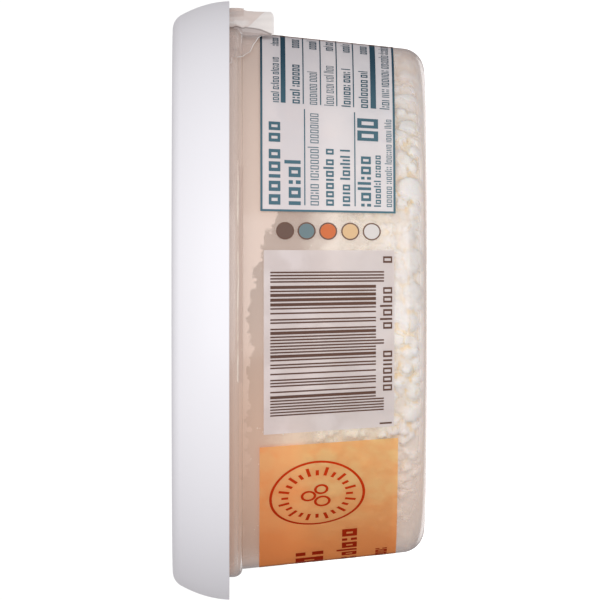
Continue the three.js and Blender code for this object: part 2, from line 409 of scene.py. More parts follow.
# %% Table and lid finishes
PAPER, PAPER_GLOW = (0.8, 0.8, 0.8, 1), 0.95
LID_WHITE = (0.905, 0.905, 0.945, 1)
LID_DULL, HANDLED_SIZE = (0.4, 0.52), 14
PEEL_SIZE, PEEL_DEPTH = 0.9, 0.012

table_paper, _ = finish(
    "table_paper", PAPER, 0.9, Emission_Color=(1, 1, 1, 1), Emission_Strength=PAPER_GLOW)
table.data.materials.append(table_paper)

lid_plastic, lid_shader = finish("satin_white_plastic", LID_WHITE, 0.45, IOR=1.49)
dull = ramp(lid_plastic, clouds(lid_plastic, HANDLED_SIZE), 0.3, 0.7, *LID_DULL)
join(lid_plastic, dull, lid_shader.inputs["Roughness"])
relief(lid_plastic, lid_shader, clouds(lid_plastic, PEEL_SIZE, 2.0), PEEL_DEPTH)
print("finishes:", table_paper.name, lid_plastic.name)

# %% [markdown]
# The lid is a shallow cap. Its skirt bows in towards the top, the edge is rounded, and a
# low ring on top keeps the next tub from sliding off. Inside the skirt a bead grips under
# the flange. A section of about fifty points, spun in 288 steps, leaves no visible sides.

# %% Lid
ROUND_STEPS = 288
RIM_LIP = 0.2
SKIRT_STEPS, EDGE_STEPS, PANEL_STEPS = 14, 12, 8


def lid_outside(z):
    """Radius of the outside of the skirt, which bows in towards the top."""
    h = max(0.0, z - LID_RIM_Z)
    return LID_RIM_R - LID_DRAFT * h - LID_BOW * h * h


def lid_inside(z):
    """Radius of the inside of the skirt, with the bead that grips under the flange."""
    bead = max(0.0, 1 - abs(z - BEAD_Z) / BEAD_H)
    return lid_outside(z) - LID_WALL - BEAD_OUT * bead


def lid_section():
    skirt = [LID_RIM_Z + (SKIRT_TOP - LID_RIM_Z) * i / SKIRT_STEPS for i in range(SKIRT_STEPS + 1)]
    outside = [(lid_outside(z), z) for z in skirt]
    inside = [(lid_inside(z), z) for z in skirt]
    lean = math.degrees(math.atan(LID_DRAFT + 2 * LID_BOW * (SKIRT_TOP - LID_RIM_Z)))
    edge_r, edge_z = outside[-1][0] - EDGE_R * math.cos(math.radians(lean)), LID_TOP - EDGE_R
    outside += arc(edge_r, edge_z, EDGE_R, lean, 90, EDGE_STEPS)[1:]
    inside += arc(edge_r, edge_z, EDGE_R - LID_WALL, lean, 90, EDGE_STEPS // 2)
    for i in range(PANEL_STEPS + 1):
        t = i / PANEL_STEPS
        outside.append((STACKING_RING_R - PANEL_SLOPE * t, LID_TOP - PANEL_DROP * smooth(t)))
    panel = LID_TOP - PANEL_DROP
    outside.append((0, panel))
    inside += [(STACKING_RING_R - PANEL_SLOPE, panel - LID_WALL), (0, panel - LID_WALL)]
    outside[:1] = [(LID_RIM_R - RIM_LIP * 0.3, LID_RIM_Z), (LID_RIM_R, LID_RIM_Z + RIM_LIP * 0.4)]
    return outside + inside[::-1]


lid = turned("lid_cap", lid_section(), ROUND_STEPS)
lid.data.materials.append(lid_plastic)
settle(lid, "white_plastic", "lid")

# %% [markdown]
# The tub's plastic is clear with a little milk in it and a warm tint. Seen square on it
# hides almost nothing, but along its edges the eye looks through much more of it, so it
# turns darker and browner there. Layer Weight gives that, as it does for glass. At the very
# bottom of the round foot a painted pale reflection, as of the bright table, takes the place
# of the brown, and the foot is hazy at a slant. A painted glint wavers along the collar,
# where the moulding bends the light. Only the camera sees milk, painted glint and shine.
# Light passes, as it does through thin plastic, so the cheese inside stays bright. The shine
# is a few percent square on and more at a slant, because a see-through plastic is as glossy as a solid one.

# %% Clear plastic
PLASTIC_TINT = shade(244, 220, 202)
EDGE_TINT = shade(136, 104, 88)
# Painted pale reflection of the bright table, at the very bottom of the foot.
FOOT_PAINTED_REFLECTION = shade(214, 190, 180)
BROWN_SLANT, MILK_SLANT, HAZE_SLANT = (0.7, 0.97), (0.5, 0.97), (0.2, 0.65)
FOOT_REFLECTION_HEIGHT, MILK_HEIGHT, HAZE_HEIGHT = (1.4 * MM, 0.2 * MM), (1.5 * MM, 5 * MM), (8 * MM, 4.5 * MM)
PLASTIC_MILK, FOOT_HAZE = 0.1, 0.4
MIRROR_LEAST, MIRROR_MORE = 0.035, 0.6
# Painted glint: a pale wavering band along the collar.
PAINTED_GLINT_TONE = shade(250, 238, 224)
GLINT_FROM, GLINT_TO = -13.6 * MM, 23.9 * MM
GLINT_LOW, GLINT_WANDER, GLINT_HALF = 32.35 * MM, 0.5 * MM, 0.2 * MM


def painted_glint(material):
    """How much of the painted glint in the collar is here, 0 to 1."""
    across, deep, height = place_parts(material)
    middle = maths(material, "MULTIPLY_ADD", clouds(material, 6.0), GLINT_WANDER, GLINT_LOW)
    glint = ramp(material, from_middle(material, height, middle), GLINT_HALF, GLINT_HALF * 0.3)
    glint = within(material, glint, across, GLINT_FROM, GLINT_TO)
    glint = times(material, glint, ramp(material, deep, 0.0, -MM))
    return times(material, glint, ramp(material, clouds(material, 9.0), 0.4, 0.6, 0.3, 1.0))


def clear_finish(name, tint, edge_tint, milk, edge_milk, gloss_roughness, bump_mm, glint_cover=0.0):
    made, shader = finish(name, tint, 0.5, IOR=1.49, Specular_IOR_Level=0.0)
    facing = node(made, "LayerWeight", Blend=0.5).outputs["Facing"]
    height = place_parts(made)[2]
    # Painted glint along the collar.
    glint = painted_glint(made)
    # Brown edge tint, with the painted reflection at the foot's very bottom.
    edge_tone_and_reflection = toned(made, edge_tint, (FOOT_PAINTED_REFLECTION, height, *FOOT_REFLECTION_HEIGHT, 1.0))
    tone = toned(made, tint, (edge_tone_and_reflection, facing, *BROWN_SLANT, 1.0))
    join(made, between(made, glint, tone, PAINTED_GLINT_TONE), shader.inputs["Base Color"])
    hides = ramp(made, height, *MILK_HEIGHT, 0.0, milk)
    foot_haze = ramp(made, height, *HAZE_HEIGHT, 0.0, FOOT_HAZE)
    foot_haze = times(made, ramp(made, facing, *HAZE_SLANT), foot_haze)
    at_a_slant = ramp(made, facing, *MILK_SLANT, 0.0, edge_milk)
    for other in (at_a_slant, foot_haze, times(made, glint, glint_cover)):
        hides = maths(made, "MAXIMUM", hides, other)
    is_seen = node(made, "LightPath").outputs["Is Camera Ray"]
    body = laid_over(made, times(made, is_seen, hides), node(made, "BsdfTransparent"), shader)
    shine = node(made, "BsdfGlossy", Roughness=gloss_roughness, Color=(1, 1, 1, 1))
    relief(made, shine, clouds(made, 2.2, 2.0), bump_mm)
    slanting = maths(made, "POWER", facing, 5.0)
    mirror = maths(made, "MULTIPLY_ADD", slanting, MIRROR_MORE, MIRROR_LEAST)
    show(made, laid_over(made, times(made, is_seen, mirror), body, shine))
    return made


tub_plastic = clear_finish(
    "clear_milky_plastic", PLASTIC_TINT, EDGE_TINT, PLASTIC_MILK, edge_milk=0.85,
    gloss_roughness=0.16, bump_mm=0.02, glint_cover=0.8)
print("clear plastic hides", PLASTIC_MILK, "of what is behind each face")

# %% [markdown]
# The tub is one moulded wall, the same 0.7 mm everywhere: a raised middle under the base,
# the rounded foot, the cone, the shoulder, the collar and the flange that the seal is
# welded to. The inside is the outside moved in by the wall, so the section closes on
# itself and the foot shows its real thickness.

# %% Tub
FOOT_STEPS, SHOULDER_STEPS = 14, 8
WALL_LEVELS = (10, 16, 22, 28)


def moved_in(line, distance):
    """The same line moved sideways to the left of its direction, with mitred corners."""
    points = [np.array(p, float) for p in line]
    ways = [(b - a) / math.hypot(*(b - a)) for a, b in zip(points, points[1:])]
    lefts = [np.array((-y, x)) for x, y in ways]
    made = []
    for p, left_a, left_b in zip(points, lefts[:1] + lefts, lefts + lefts[-1:]):
        corner = (left_a + left_b) / math.hypot(*(left_a + left_b))
        r, z = p + corner * distance / corner.dot(left_a)
        made.append((max(0.0, r), z))
    return made


def tub_section():
    line = [(0, RECESS_H), (RECESS_R, RECESS_H)]
    line += [(RECESS_R + RECESS_SLOPE * t, RECESS_H * (1 - smooth(t))) for t in (0.25, 0.5, 0.75, 1.0)]
    line += arc(CORNER_CENTRE_R, CORNER_R, CORNER_R, -90, -LEAN, FOOT_STEPS)
    line += [(outer_wall(z), z) for z in WALL_LEVELS]
    for i in range(SHOULDER_STEPS + 1):
        a = math.radians(90 * i / SHOULDER_STEPS)
        r = mix(outer_wall(SHOULDER_Z), COLLAR_R, math.sin(a))
        line.append((r, SHOULDER_Z + SHOULDER_H * (1 - math.cos(a))))
    line.append((COLLAR_R, FLANGE_TOP - FLANGE_H))
    flange = [(FLANGE_R, FLANGE_TOP - FLANGE_H), (FLANGE_R, FLANGE_TOP), (FLANGE_INNER_R, FLANGE_TOP)]
    return line + flange + moved_in(line, WALL)[::-1]


tub = turned("tub_wall", tub_section(), ROUND_STEPS)
tub.data.materials.append(tub_plastic)
settle(tub, "clear_plastic", "tub")

# %% [markdown]
# Crumbled goat cheese is a heap of soft lumps, two to five millimetres across, each of
# them a cluster of smaller knobs, like popcorn. Against the wall they are pressed flat.
# The heap is made as one skin: from its middle, rays run out to every point of the
# surface, and each ray stops at the last knob that it passes. That gives true overlaps
# and deep gaps between lumps without a single hidden face. Where a lump would cross the
# wall it stops just inside the plastic, so that no air shows between the two.

# %% Where the rays of the heap start and how far they may go
HEAP_TURNS = 760
RAYS_DOWN, RAYS_TO_FOOT, RAYS_OUT, RAYS_TO_EDGE, RAYS_UP = 10, 17, 50, 22, 22
CHEESE_TOP = 22.6
SPINE_R, SPINE_LOW, SPINE_HIGH = 38.5, 4.0, 19.6
FOOT_FAN, EDGE_FAN = (-96, -3), (4, 86) # degrees over level
PRESS_IN, PRESS_IN_FOOT = 0.18, 0.62
CORE_BEHIND, CORE_BEHIND_LOW, CORE_BEHIND_FOOT = 0.95, 0.7, 0.12
TOP_CORE_DOWN = 2.2
RAY_STEP, FREE_WAY = 0.04, 30.0 # a ray that meets no wall may run this far
MEETS_WALL = 20.0 # a shorter longest way than this ends at the wall


def press_in(z):
    """How far the curd reaches into the plastic: almost through it in the rounded foot."""
    return mix(PRESS_IN_FOOT, PRESS_IN, smooth((z - 0.3) / 1.7))


def way_to_wall(r, z, dr, dz):
    """How far a ray runs before it is just inside the plastic of the wall, foot or base."""
    way = 0.0
    while way < FREE_WAY:
        way += RAY_STEP
        at_r, at_z = r + dr * way, z + dz * way
        if at_z > CORNER_R:
            room = inner_wall(at_z) + PRESS_IN
        else:
            bend = CORNER_R - WALL + press_in(at_z)
            below = CORNER_R - at_z
            room = CORNER_CENTRE_R + math.sqrt(max(0.0, bend * bend - below * below))
        lowest = WALL - PRESS_IN_FOOT if at_r > RECESS_R + RECESS_SLOPE else RECESS_H + WALL - PRESS_IN
        if at_r >= room or at_z <= lowest:
            return way
    return way


def fan(z, first, last, count):
    """Rays that spread from one end of the spine."""
    made = []
    for a in np.linspace(first, last, count):
        d = (math.cos(math.radians(a)), math.sin(math.radians(a)))
        made.append((SPINE_R, z, *d, way_to_wall(SPINE_R, z, *d)))
    return made


def heap_rays():
    """Start, direction and longest way of each ray in one upright half section."""
    to_floor = SPINE_LOW - (RECESS_H + WALL - PRESS_IN)
    rays = [(r, SPINE_LOW, 0.0, -1.0, to_floor) for r in np.linspace(1.5, SPINE_R - 3, RAYS_DOWN)]
    rays += fan(SPINE_LOW, *FOOT_FAN, RAYS_TO_FOOT)
    for z in np.linspace(SPINE_LOW, SPINE_HIGH, RAYS_OUT):
        rays.append((SPINE_R, z, 1.0, 0.0, inner_wall(z) + PRESS_IN - SPINE_R))
    rays += fan(SPINE_HIGH, *EDGE_FAN, RAYS_TO_EDGE)
    rays += [(r, SPINE_HIGH, 0.0, 1.0, FREE_WAY) for r in np.linspace(SPINE_R - 0.4, 0.8, RAYS_UP)]
    return np.array(rays)


heap_section = heap_rays()
print("rays in a half section:", len(heap_section))

# %% [markdown]
# Next the lumps themselves. A crumb that breaks off fresh curd is no ball: it is one body
# with smaller knobs half sunk in it, so a lump is a handful of round knobs. The tub was
# shaken towards the left of the shown side: there the lumps are finer and stick up higher
# on the wall. Every random draw comes from one seeded generator, so the heap is the same
# each time.

# %% One lump
HEAP_SEED = 4108
LUMP_SMALL, LUMP_LARGE, LUMP_FINE = 0.9, 3.0, 0.62
SHAKEN_TO, SHAKEN_HALF, SHAKEN_FADE = -80, 30, 25
STUCK_UP = 3.0
STRETCH, KNOBS, KNOB_SHARE, KNOB_OUT = (0.0, 0.5), (6, 10), (0.3, 0.54), (0.85, 1.1)
draw = random.Random(HEAP_SEED)


def signed(turn):
    return turn - 360 if turn > 180 else turn


def is_loose(turn):
    """0 on the side that the tub was shaken towards, where the curd is fine and packed."""
    return smooth((abs(signed(turn) - SHAKEN_TO) - SHAKEN_HALF) / SHAKEN_FADE)


def stuck_up(turn):
    """How much higher the lumps stick to the wall on the side that the tub was shaken to."""
    return STUCK_UP * smooth((-turn - 12) / 14) * smooth((turn + 175) / 30)


def lump_size(turn=0.0, share=None):
    """Half the size of a lump."""
    share = draw.random() if share is None else share
    return mix(LUMP_SMALL, LUMP_LARGE, share ** 1.6) * mix(LUMP_FINE, 1.0, is_loose(turn))


def lump(r, turn, z, half, body=0.74):
    """Round knobs, as (x, y, z, radius) in millimetres, that together make one lump."""
    centre = spot(r, turn, z) / MM
    long_way = Vector([draw.uniform(-1, 1) for _ in range(3)]).normalized()
    stretch = draw.uniform(*STRETCH)
    made = [(*centre, half * body)]
    for _ in range(draw.randint(*KNOBS)):
        out = Vector([draw.gauss(0, 1) for _ in range(3)]).normalized()
        out += long_way * out.dot(long_way) * stretch
        radius = half * draw.uniform(*KNOB_SHARE)
        place = centre + out * (half - radius) * draw.uniform(*KNOB_OUT)
        made.append((*place, radius))
    return made


print("lumps from", 2 * LUMP_SMALL, "to", 2 * LUMP_LARGE, "mm across, finer where they are packed")

# %% [markdown]
# The lumps at the wall are laid the largest first, each where it has most room, as crumbs
# shake down. A second layer stands behind them and shows in the gaps. Top and base follow
# a rule that keeps lumps evenly spread however many there are.

# %% Where the lumps lie
WALL_LUMPS, BACK_LUMPS, TOP_LUMPS, BASE_LUMPS = 1050, 1000, 420, 240
TRIES, CLOSE = 14, 0.7
ROUND_MM, UP_MM = 2 * math.pi * 40, 24.0
WALL_AWAY, WALL_BODY = (0.45, 0.8), (0.68, 0.86)
BACK_SIZE, BACK_AWAY, BACK_BODY = 0.62, (0.1, 0.5), 0.9
TOP_R, TOP_DOWN, TOP_JITTER = 42.5, 1.4, (-0.5, 0.6)
BASE_R, BASE_UP = 37.5, (0.6, 0.95)


def evenly(k):
    return (k * 0.7548776662 + 0.5) % 1, (k * 0.5698402910 + 0.5) % 1


def beside_wall(turn, rise, away):
    """A place some way off the inside of foot and wall, as a share of the way up them."""
    bend = CORNER_R - WALL
    round_way = bend * math.radians(90 - LEAN)
    way = rise * (round_way + CHEESE_TOP - 0.5 - CORNER_R + stuck_up(turn))
    if way < round_way:
        a = math.radians(-90) + way / bend
        return CORNER_CENTRE_R + (bend - away) * math.cos(a), CORNER_R + (bend - away) * math.sin(a)
    z = CORNER_R + way - round_way
    return inner_wall(z) - away, z


def packed_on_wall(count):
    """Share of the way round, share of the way up and half size of each lump."""
    laid = np.zeros((count, 3))
    for k in range(count):
        share = (1 - (k + 0.5) / count) ** 1.4
        best = -99.0
        for _ in range(TRIES):
            u, v = draw.random(), draw.random()
            half = lump_size(360 * u - 180, share)
            beside = np.abs(laid[:k, 0] - u)
            beside = np.minimum(beside, 1 - beside) * ROUND_MM
            gaps = np.hypot(beside, (laid[:k, 1] - v) * UP_MM) - CLOSE * (laid[:k, 2] + half)
            room = gaps.min() / half if k else 0.0
            if room > best:
                best = room
                laid[k] = u, v, half
    return laid


def waves(r, share):
    """The soft ups and downs of the heap's top."""
    return 0.9 * math.sin(r * 0.13 + share * 9) + 0.6 * math.cos(share * 12.6)


def heap_knobs():
    knobs = []
    for u, rise, half in packed_on_wall(WALL_LUMPS):
        turn = 360 * u - 180
        r, z = beside_wall(turn, rise, half * draw.uniform(*WALL_AWAY))
        knobs += lump(r, turn, z, half, draw.uniform(*WALL_BODY))
    for k in range(BACK_LUMPS):
        u, rise = evenly(k)
        turn = 360 * u - 180
        half = lump_size(turn) * BACK_SIZE
        r, z = beside_wall(turn, rise, half + draw.uniform(*BACK_AWAY))
        knobs += lump(r, turn, z, half, BACK_BODY)
    for k in range(TOP_LUMPS):
        u, out = evenly(k)
        half = lump_size()
        r = TOP_R * math.sqrt(out)
        z = CHEESE_TOP - TOP_DOWN + waves(r, u) + draw.uniform(*TOP_JITTER)
        knobs += lump(r, 360 * u, z, half)
    for k in range(BASE_LUMPS):
        u, out = evenly(k)
        half = lump_size()
        z = RECESS_H + WALL + half * draw.uniform(*BASE_UP)
        knobs += lump(BASE_R * math.sqrt(out), 360 * u, z, half)
    return np.array(knobs)


knobs = heap_knobs()
print("knobs:", len(knobs), "radius from", knobs[:, 3].min().round(2), "to", knobs[:, 3].max().round(2))

# %% [markdown]
# Now every ray meets the knobs near it. In the upright plane of one turn a knob is a
# circle, smaller the further its middle lies beside the plane, so the meeting point is
# school geometry, and numpy does a whole half section at once. A ray that meets no knob
# ends at a core, which stays a little behind the wall.

# %% How far the rays of the heap run
SOFT_PRESS = 0.12
CORE_LEVELS = (0.3, 1.4, 3.0)
RIDGE_SHARE, PACKED_CORE = 0.85, 0.45
SMOOTHED = 0.25


def pressed(gap):
    """The gap to the wall after pressing: never below nothing, and round where it meets it."""
    return SOFT_PRESS * np.log1p(np.exp(np.clip(gap / SOFT_PRESS, -30, 30)))


def core_behind(start_z, dz, longest):
    """How far the core stays behind the wall: less at the foot, where the curd is packed."""
    end_z = start_z + dz * np.minimum(longest, MEETS_WALL)
    return np.interp(end_z, CORE_LEVELS, (CORE_BEHIND_FOOT, CORE_BEHIND_LOW, CORE_BEHIND))


def heap_surface():
    """How far each ray runs at each turn: to its last knob, or else to the core."""
    x, y, z, size = knobs.T
    start_r, start_z, dr, dz, longest = heap_section.T
    behind = core_behind(start_z, dz, longest)
    ways = np.zeros((HEAP_TURNS, len(heap_section)))
    for i in range(HEAP_TURNS):
        a = 2 * math.pi * i / HEAP_TURNS
        turn = 360 * i / HEAP_TURNS
        ridge = RIDGE_SHARE * stuck_up(signed(turn)) * (dr > 0)
        to_top = (CHEESE_TOP - TOP_CORE_DOWN + ridge - start_z) / np.maximum(dz, 1e-6)
        to_core = longest - behind * mix(PACKED_CORE, 1.0, is_loose(turn))
        shortest = np.minimum(to_core, np.where(dz > 0, to_top, 99))
        along = x * math.sin(a) - y * math.cos(a)
        beside = x * math.cos(a) + y * math.sin(a)
        near = (np.abs(beside) < size) & (along > -2)
        left = size[near] ** 2 - beside[near] ** 2
        to_r, to_z = along[near][:, None] - start_r, z[near][:, None] - start_z
        ahead = to_r * dr + to_z * dz
        depth = left[:, None] - (to_r * dz - to_z * dr) ** 2
        reach = np.where(depth > 0, ahead + np.sqrt(np.maximum(depth, 0)), -1)
        ways[i] = np.maximum(reach.max(axis=0), shortest)
    ways = np.where(longest < MEETS_WALL, longest - pressed(longest - ways), ways)
    beside = (np.roll(ways, 1, 0) + np.roll(ways, -1, 0)) / 2
    return mix(ways, beside, SMOOTHED)


heap_ways = heap_surface()
print("rays run", heap_ways.min().round(1), "to", heap_ways.max().round(1), "mm")

# %% [markdown]
# The ends of the rays are the points of the skin. Noise gives them the fine grain of the
# curd, and each keeps two values for the finish: how far it lies behind the wall, and how
# deep in a seam between lumps.

# %% Skin of the heap
GRAIN_SIZE, GRAIN_DEPTH = 0.75, 0.13
SWELL_SIZE, SWELL_DEPTH = 1.9, 0.26
SEAM_REACH, SEAM_DEPTH = 2, 0.3
TOP_HOLLOW, BASE_HOLLOW = 0.3, 0.1


def seam_depths(ways):
    """0 to 1: how much further in each place lies than the mean of what is round it."""
    wide = np.pad(ways, ((SEAM_REACH, SEAM_REACH), (0, 0)), "wrap")
    wide = np.pad(wide, ((0, 0), (SEAM_REACH, SEAM_REACH)), "edge")
    turns, rays = ways.shape
    steps = range(2 * SEAM_REACH + 1)
    around = sum(wide[i:i + turns, j:j + rays] for i in steps for j in steps) / len(steps) ** 2
    return np.clip((around - ways) / SEAM_DEPTH, 0, 1)


def heap_skin(name, ways):
    points, hollows = [], []
    count = len(heap_section)
    for i in range(HEAP_TURNS):
        a = 360 * i / HEAP_TURNS
        for j, (start_r, start_z, dr, dz, longest) in enumerate(heap_section):
            way = ways[i, j]
            p = spot(start_r + dr * way, a, start_z + dz * way) / MM
            grain = noise.noise(p / GRAIN_SIZE) + 0.5 * noise.noise(p / GRAIN_SIZE * 2.3)
            firm = mix(0.1, 1.0, smooth((p.z - 0.7) / 1.5))
            relief_mm = GRAIN_DEPTH * grain + SWELL_DEPTH * noise.noise(p / SWELL_SIZE)
            way = min(longest, way + firm * relief_mm)
            points.append(spot(start_r + dr * way, a, start_z + dz * way))
            meets_wall = longest < MEETS_WALL
            hollows.append(min(1.0, (longest - way) / CORE_BEHIND) if meets_wall else TOP_HOLLOW)
    faces = grid_faces(HEAP_TURNS, count, False)
    last = (HEAP_TURNS - 1) * count
    faces += [(last + j, last + j + 1, j + 1, j) for j in range(count - 1)]
    base, top = len(points), len(points) + 1
    top_z = sum(p[2] for p in points[count - 1:: count]) / HEAP_TURNS
    points += [(0, 0, (RECESS_H + WALL) * MM), (0, 0, top_z)]
    for i in range(HEAP_TURNS):
        k = (i + 1) % HEAP_TURNS
        faces.append((base, i * count, k * count))
        faces.append((top, k * count + count - 1, i * count + count - 1))
    made = new_object(name, points, faces)
    face_outwards(made)
    hollows += [BASE_HOLLOW, TOP_HOLLOW]
    store(made, ("hollow", "seam"), zip(hollows, [*seam_depths(ways).ravel(), 0.0, 0.0]))
    return made


heap = heap_skin("cheese_heap", heap_ways)
print("points of the skin:", len(heap.data.vertices))

# %% [markdown]
# The curd is off-white and moist. Light goes into it and comes out softened, which
# Subsurface gives. In the broad gaps and the seams between lumps a warm cream is painted
# shade, for light that has bounced off cheese many times; the stored values say where.
# Bent cells, as Voronoi draws them, open fine cracks here and there, with painted shade in
# them. The rest goes by place: the foot is a little warmer, painted light lightens what lies
# over it, the middle is greyer, partly soaked with whey and partly painted shade where the
# key light falls brightest, the right-hand end is greyer with painted shade and with more
# plastic in front, and painted orange light from the front label lies on what is beside it.

# %% Cheese finish
CURD_COLOUR = shade(239, 236, 232)
PATCH_COLOUR = shade(237, 231, 223)
# Painted shade, a warm cream, in the broad gaps behind the wall.
GAP_PAINTED_SHADE = shade(236, 227, 215)
# Painted shade, warm, in the seams between lumps.
SEAM_PAINTED_SHADE = shade(240, 217, 177)
# Painted shade in the fine cracks.
CRACK_PAINTED_SHADE = shade(240, 225, 200)
FOOT_COLOUR = shade(235, 227, 221)
# Painted light that lightens the curd higher up the wall.
HIGH_PAINTED_LIGHT = shade(255, 243, 222)
# Greyer in the middle: partly whey soaked in, partly painted shade where the key light falls brightest.
SOAKED_AND_SHADED_COLOUR, SOAKED_AND_SHADED_X = shade(219, 212, 206), 6.0 * MM
# Greyer at the right-hand end: painted shade where less light reaches, and the haze of more plastic.
FAR_SHADE_AND_HAZE = shade(216, 223, 226)
# Painted orange light from the front label, on the curd beside it.
PAINTED_LABEL_LIGHT = shade(242, 218, 200)
CRACK_SIZE, CRACK_HALF = 2.4, 0.13
CURD_LIGHT = {"Subsurface_Weight": 0.45, "Subsurface_Radius": (1.0, 0.8, 0.6), "Subsurface_Scale": 0.8 * MM}


def cracks(material):
    """1 on whole curd, 0 in a crack; the cracks bend, and open only here and there."""
    place, scale = swayed_place(material, 1.3, 1.1), 1 / (CRACK_SIZE * MM)
    cells = node(material, "TexVoronoi", {"feature": "DISTANCE_TO_EDGE"}, Vector=place, Scale=scale)
    whole = ramp(material, cells.outputs["Distance"], 0.0, CRACK_HALF)
    is_open = ramp(material, clouds(material, 3.4), 0.5, 0.6)
    return maths(material, "MAXIMUM", whole, maths(material, "SUBTRACT", 1.0, is_open))


def curd_finish(name, has_values):
    made, shader = finish(name, CURD_COLOUR, 0.55, IOR=1.4, **CURD_LIGHT)
    colour = toned(made, CURD_COLOUR, (PATCH_COLOUR, clouds(made, 5.0), 0.35, 0.75, 1.0))
    if has_values:
        # Painted shade in the broad gaps and in the seams between lumps.
        colour = toned(
            made, colour,
            (GAP_PAINTED_SHADE, stored(made, "hollow"), 0.36, 0.95, 1.0),
            (SEAM_PAINTED_SHADE, stored(made, "seam"), 0.3, 1.0, 1.0))
    whole = cracks(made)
    # Painted shade in the cracks.
    colour = between(made, whole, CRACK_PAINTED_SHADE, colour)
    across, _, height = place_parts(made)
    colour = toned(
        made, colour,
        (FOOT_COLOUR, height, 2.4 * MM, 0.4 * MM, 1.0),
        (HIGH_PAINTED_LIGHT, height, 5 * MM, 9 * MM, 0.7),
        (SOAKED_AND_SHADED_COLOUR, from_middle(made, across, SOAKED_AND_SHADED_X), 13 * MM, 3 * MM, 0.45),
        (FAR_SHADE_AND_HAZE, across, 23 * MM, 36 * MM, 0.5))
    # Painted orange light from the label, low down and beside it.
    label_light_share = ramp(made, across, -14 * MM, -36 * MM, 0.0, 0.8)
    label_light_share = times(made, label_light_share, ramp(made, height, 8 * MM, 5.5 * MM))
    colour = between(made, label_light_share, colour, PAINTED_LABEL_LIGHT)
    join(made, colour, shader.inputs["Base Color"])
    grain = clouds(made, 0.45, 4.0, 0.65)
    relief(made, shader, maths(made, "MULTIPLY_ADD", whole, 0.9, grain), 0.12)
    return made


curd = curd_finish("fresh_curd", True)
loose_curd = curd_finish("fresh_curd_loose", False)
heap.data.materials.append(curd)
settle(heap, "fresh_cheese", "cheese")

# %% [markdown]
# On top lie loose crumbles and, between them and stuck to the wall, grains no bigger than
# a pinhead. Both are small balls pulled out of shape by noise. They stay separate shapes,
# because light must get between them, but are joined into one mesh a kind.

# %% Loose crumbles and grains
LOOSE_CRUMBLES, TOP_GRAINS, WALL_GRAINS = 300, 240, 260
SPECK_INTO_WALL = 0.34
LOOSE_R, LOOSE_RULE_FROM = 43.0, 17
SPECKS_LOW, SPECKS_HIGH, SPECK_HALF = 18, 33, (0.05, 0.15)


def ball(detail):
    work = bmesh.new()
    bmesh.ops.create_icosphere(work, subdivisions=detail, radius=1)
    points = [v.co.copy() for v in work.verts]
    faces = [tuple(v.index for v in f.verts) for f in work.faces]
    work.free()
    return points, faces


def scattered(name, places, detail, knobbly):
    """One mesh of many lumps; places are (middle, half size), both in millimetres."""
    unit, unit_faces = ball(detail)
    points, faces = [], []
    for centre, half in places:
        start = len(points)
        away = Vector([draw.uniform(-50, 50) for _ in range(3)])
        squash = Vector((1.0, draw.uniform(0.7, 1.0), draw.uniform(0.6, 0.95)))
        turn = Matrix.Rotation(draw.uniform(0, 6.3), 3, "Z") @ Matrix.Rotation(draw.uniform(0, 6.3), 3, "X")
        for u in unit:
            bump = 1 + knobbly * noise.noise(u * 1.3 + away) + 0.5 * knobbly * noise.noise(u * 2.9 + away)
            p = turn @ (u * squash) * (half * bump) + centre
            out = math.hypot(p.x, p.y)
            room = inner_wall(p.z) + SPECK_INTO_WALL + 0.1
            if out > room:
                p = Vector((p.x * room / out, p.y * room / out, p.z))
            points.append(p * MM)
        faces += [tuple(start + k for k in face) for face in unit_faces]
    return new_object(name, points, faces)


def on_top(count, small, large, sink):
    made = []
    for k in range(count):
        share, out = evenly(k + LOOSE_RULE_FROM)
        half = mix(small, large, draw.random() ** 1.5)
        r = LOOSE_R * math.sqrt(out)
        z = CHEESE_TOP - 0.5 + waves(r, share) + half * sink
        made.append((spot(min(r, inner_wall(z) - half * 0.8), 360 * share, z) / MM, half))
    return made


def on_wall(count):
    made = []
    for _ in range(count):
        z = mix(SPECKS_LOW, SPECKS_HIGH, draw.random() ** 1.3)
        half = mix(*SPECK_HALF, draw.random() ** 2)
        r = inner_wall(min(z, SHOULDER_Z)) + SPECK_INTO_WALL
        made.append((spot(r, draw.uniform(0, 360), z) / MM, half))
    return made


loose = scattered("cheese_crumbles", on_top(LOOSE_CRUMBLES, 0.9, 1.9, 0.5), 3, 0.3)
grains = scattered("cheese_grains", on_top(TOP_GRAINS, 0.25, 0.55, 2.2) + on_wall(WALL_GRAINS), 2, 0.25)
for piece in (loose, grains):
    piece.data.materials.append(loose_curd)
    settle(piece, "fresh_cheese")

# %% [markdown]
# Fresh cheese leaves a film of whey and crumb on the wall. It is thick where the heap has
# been shaken up against it, thins out lower down where the lumps press it away, and ends
# above in a ragged line. Over that line only mist sits on the plastic. It is a thin sheet
# in the wall's inner side, and its look goes by three values stored at its points: how far
# they are over the ragged line, how far over the height where the haze begins, and how
# near to the orange ink, whose painted orange light lies in the plastic beside it.

# %% Whey film inside the wall
FILM_LOW, FILM_TOP = 6.0, 40.6
FILM_INTO_WALL = 0.3
FILM_EDGE, FILM_EDGE_LEAST = 30.4, 25.5 # height of the ragged line on the shown side, and least
HAZE_RIGHT, HAZE_LEFT = 12.0, 18.5 # where the haze begins
FILM_ROWS, FILM_TURNS = 90, 300


def film_edge(x):
    """The line drops where the tub was tipped, towards the right-hand side."""
    drops = 0.019 * max(0.0, x) ** 2
    rises = 0.0008 * min(0.0, x) ** 2
    return max(FILM_EDGE_LEAST, FILM_EDGE - drops + rises)


def haze_start(x):
    return mix(HAZE_LEFT, HAZE_RIGHT, smooth((x + 25) / 35))


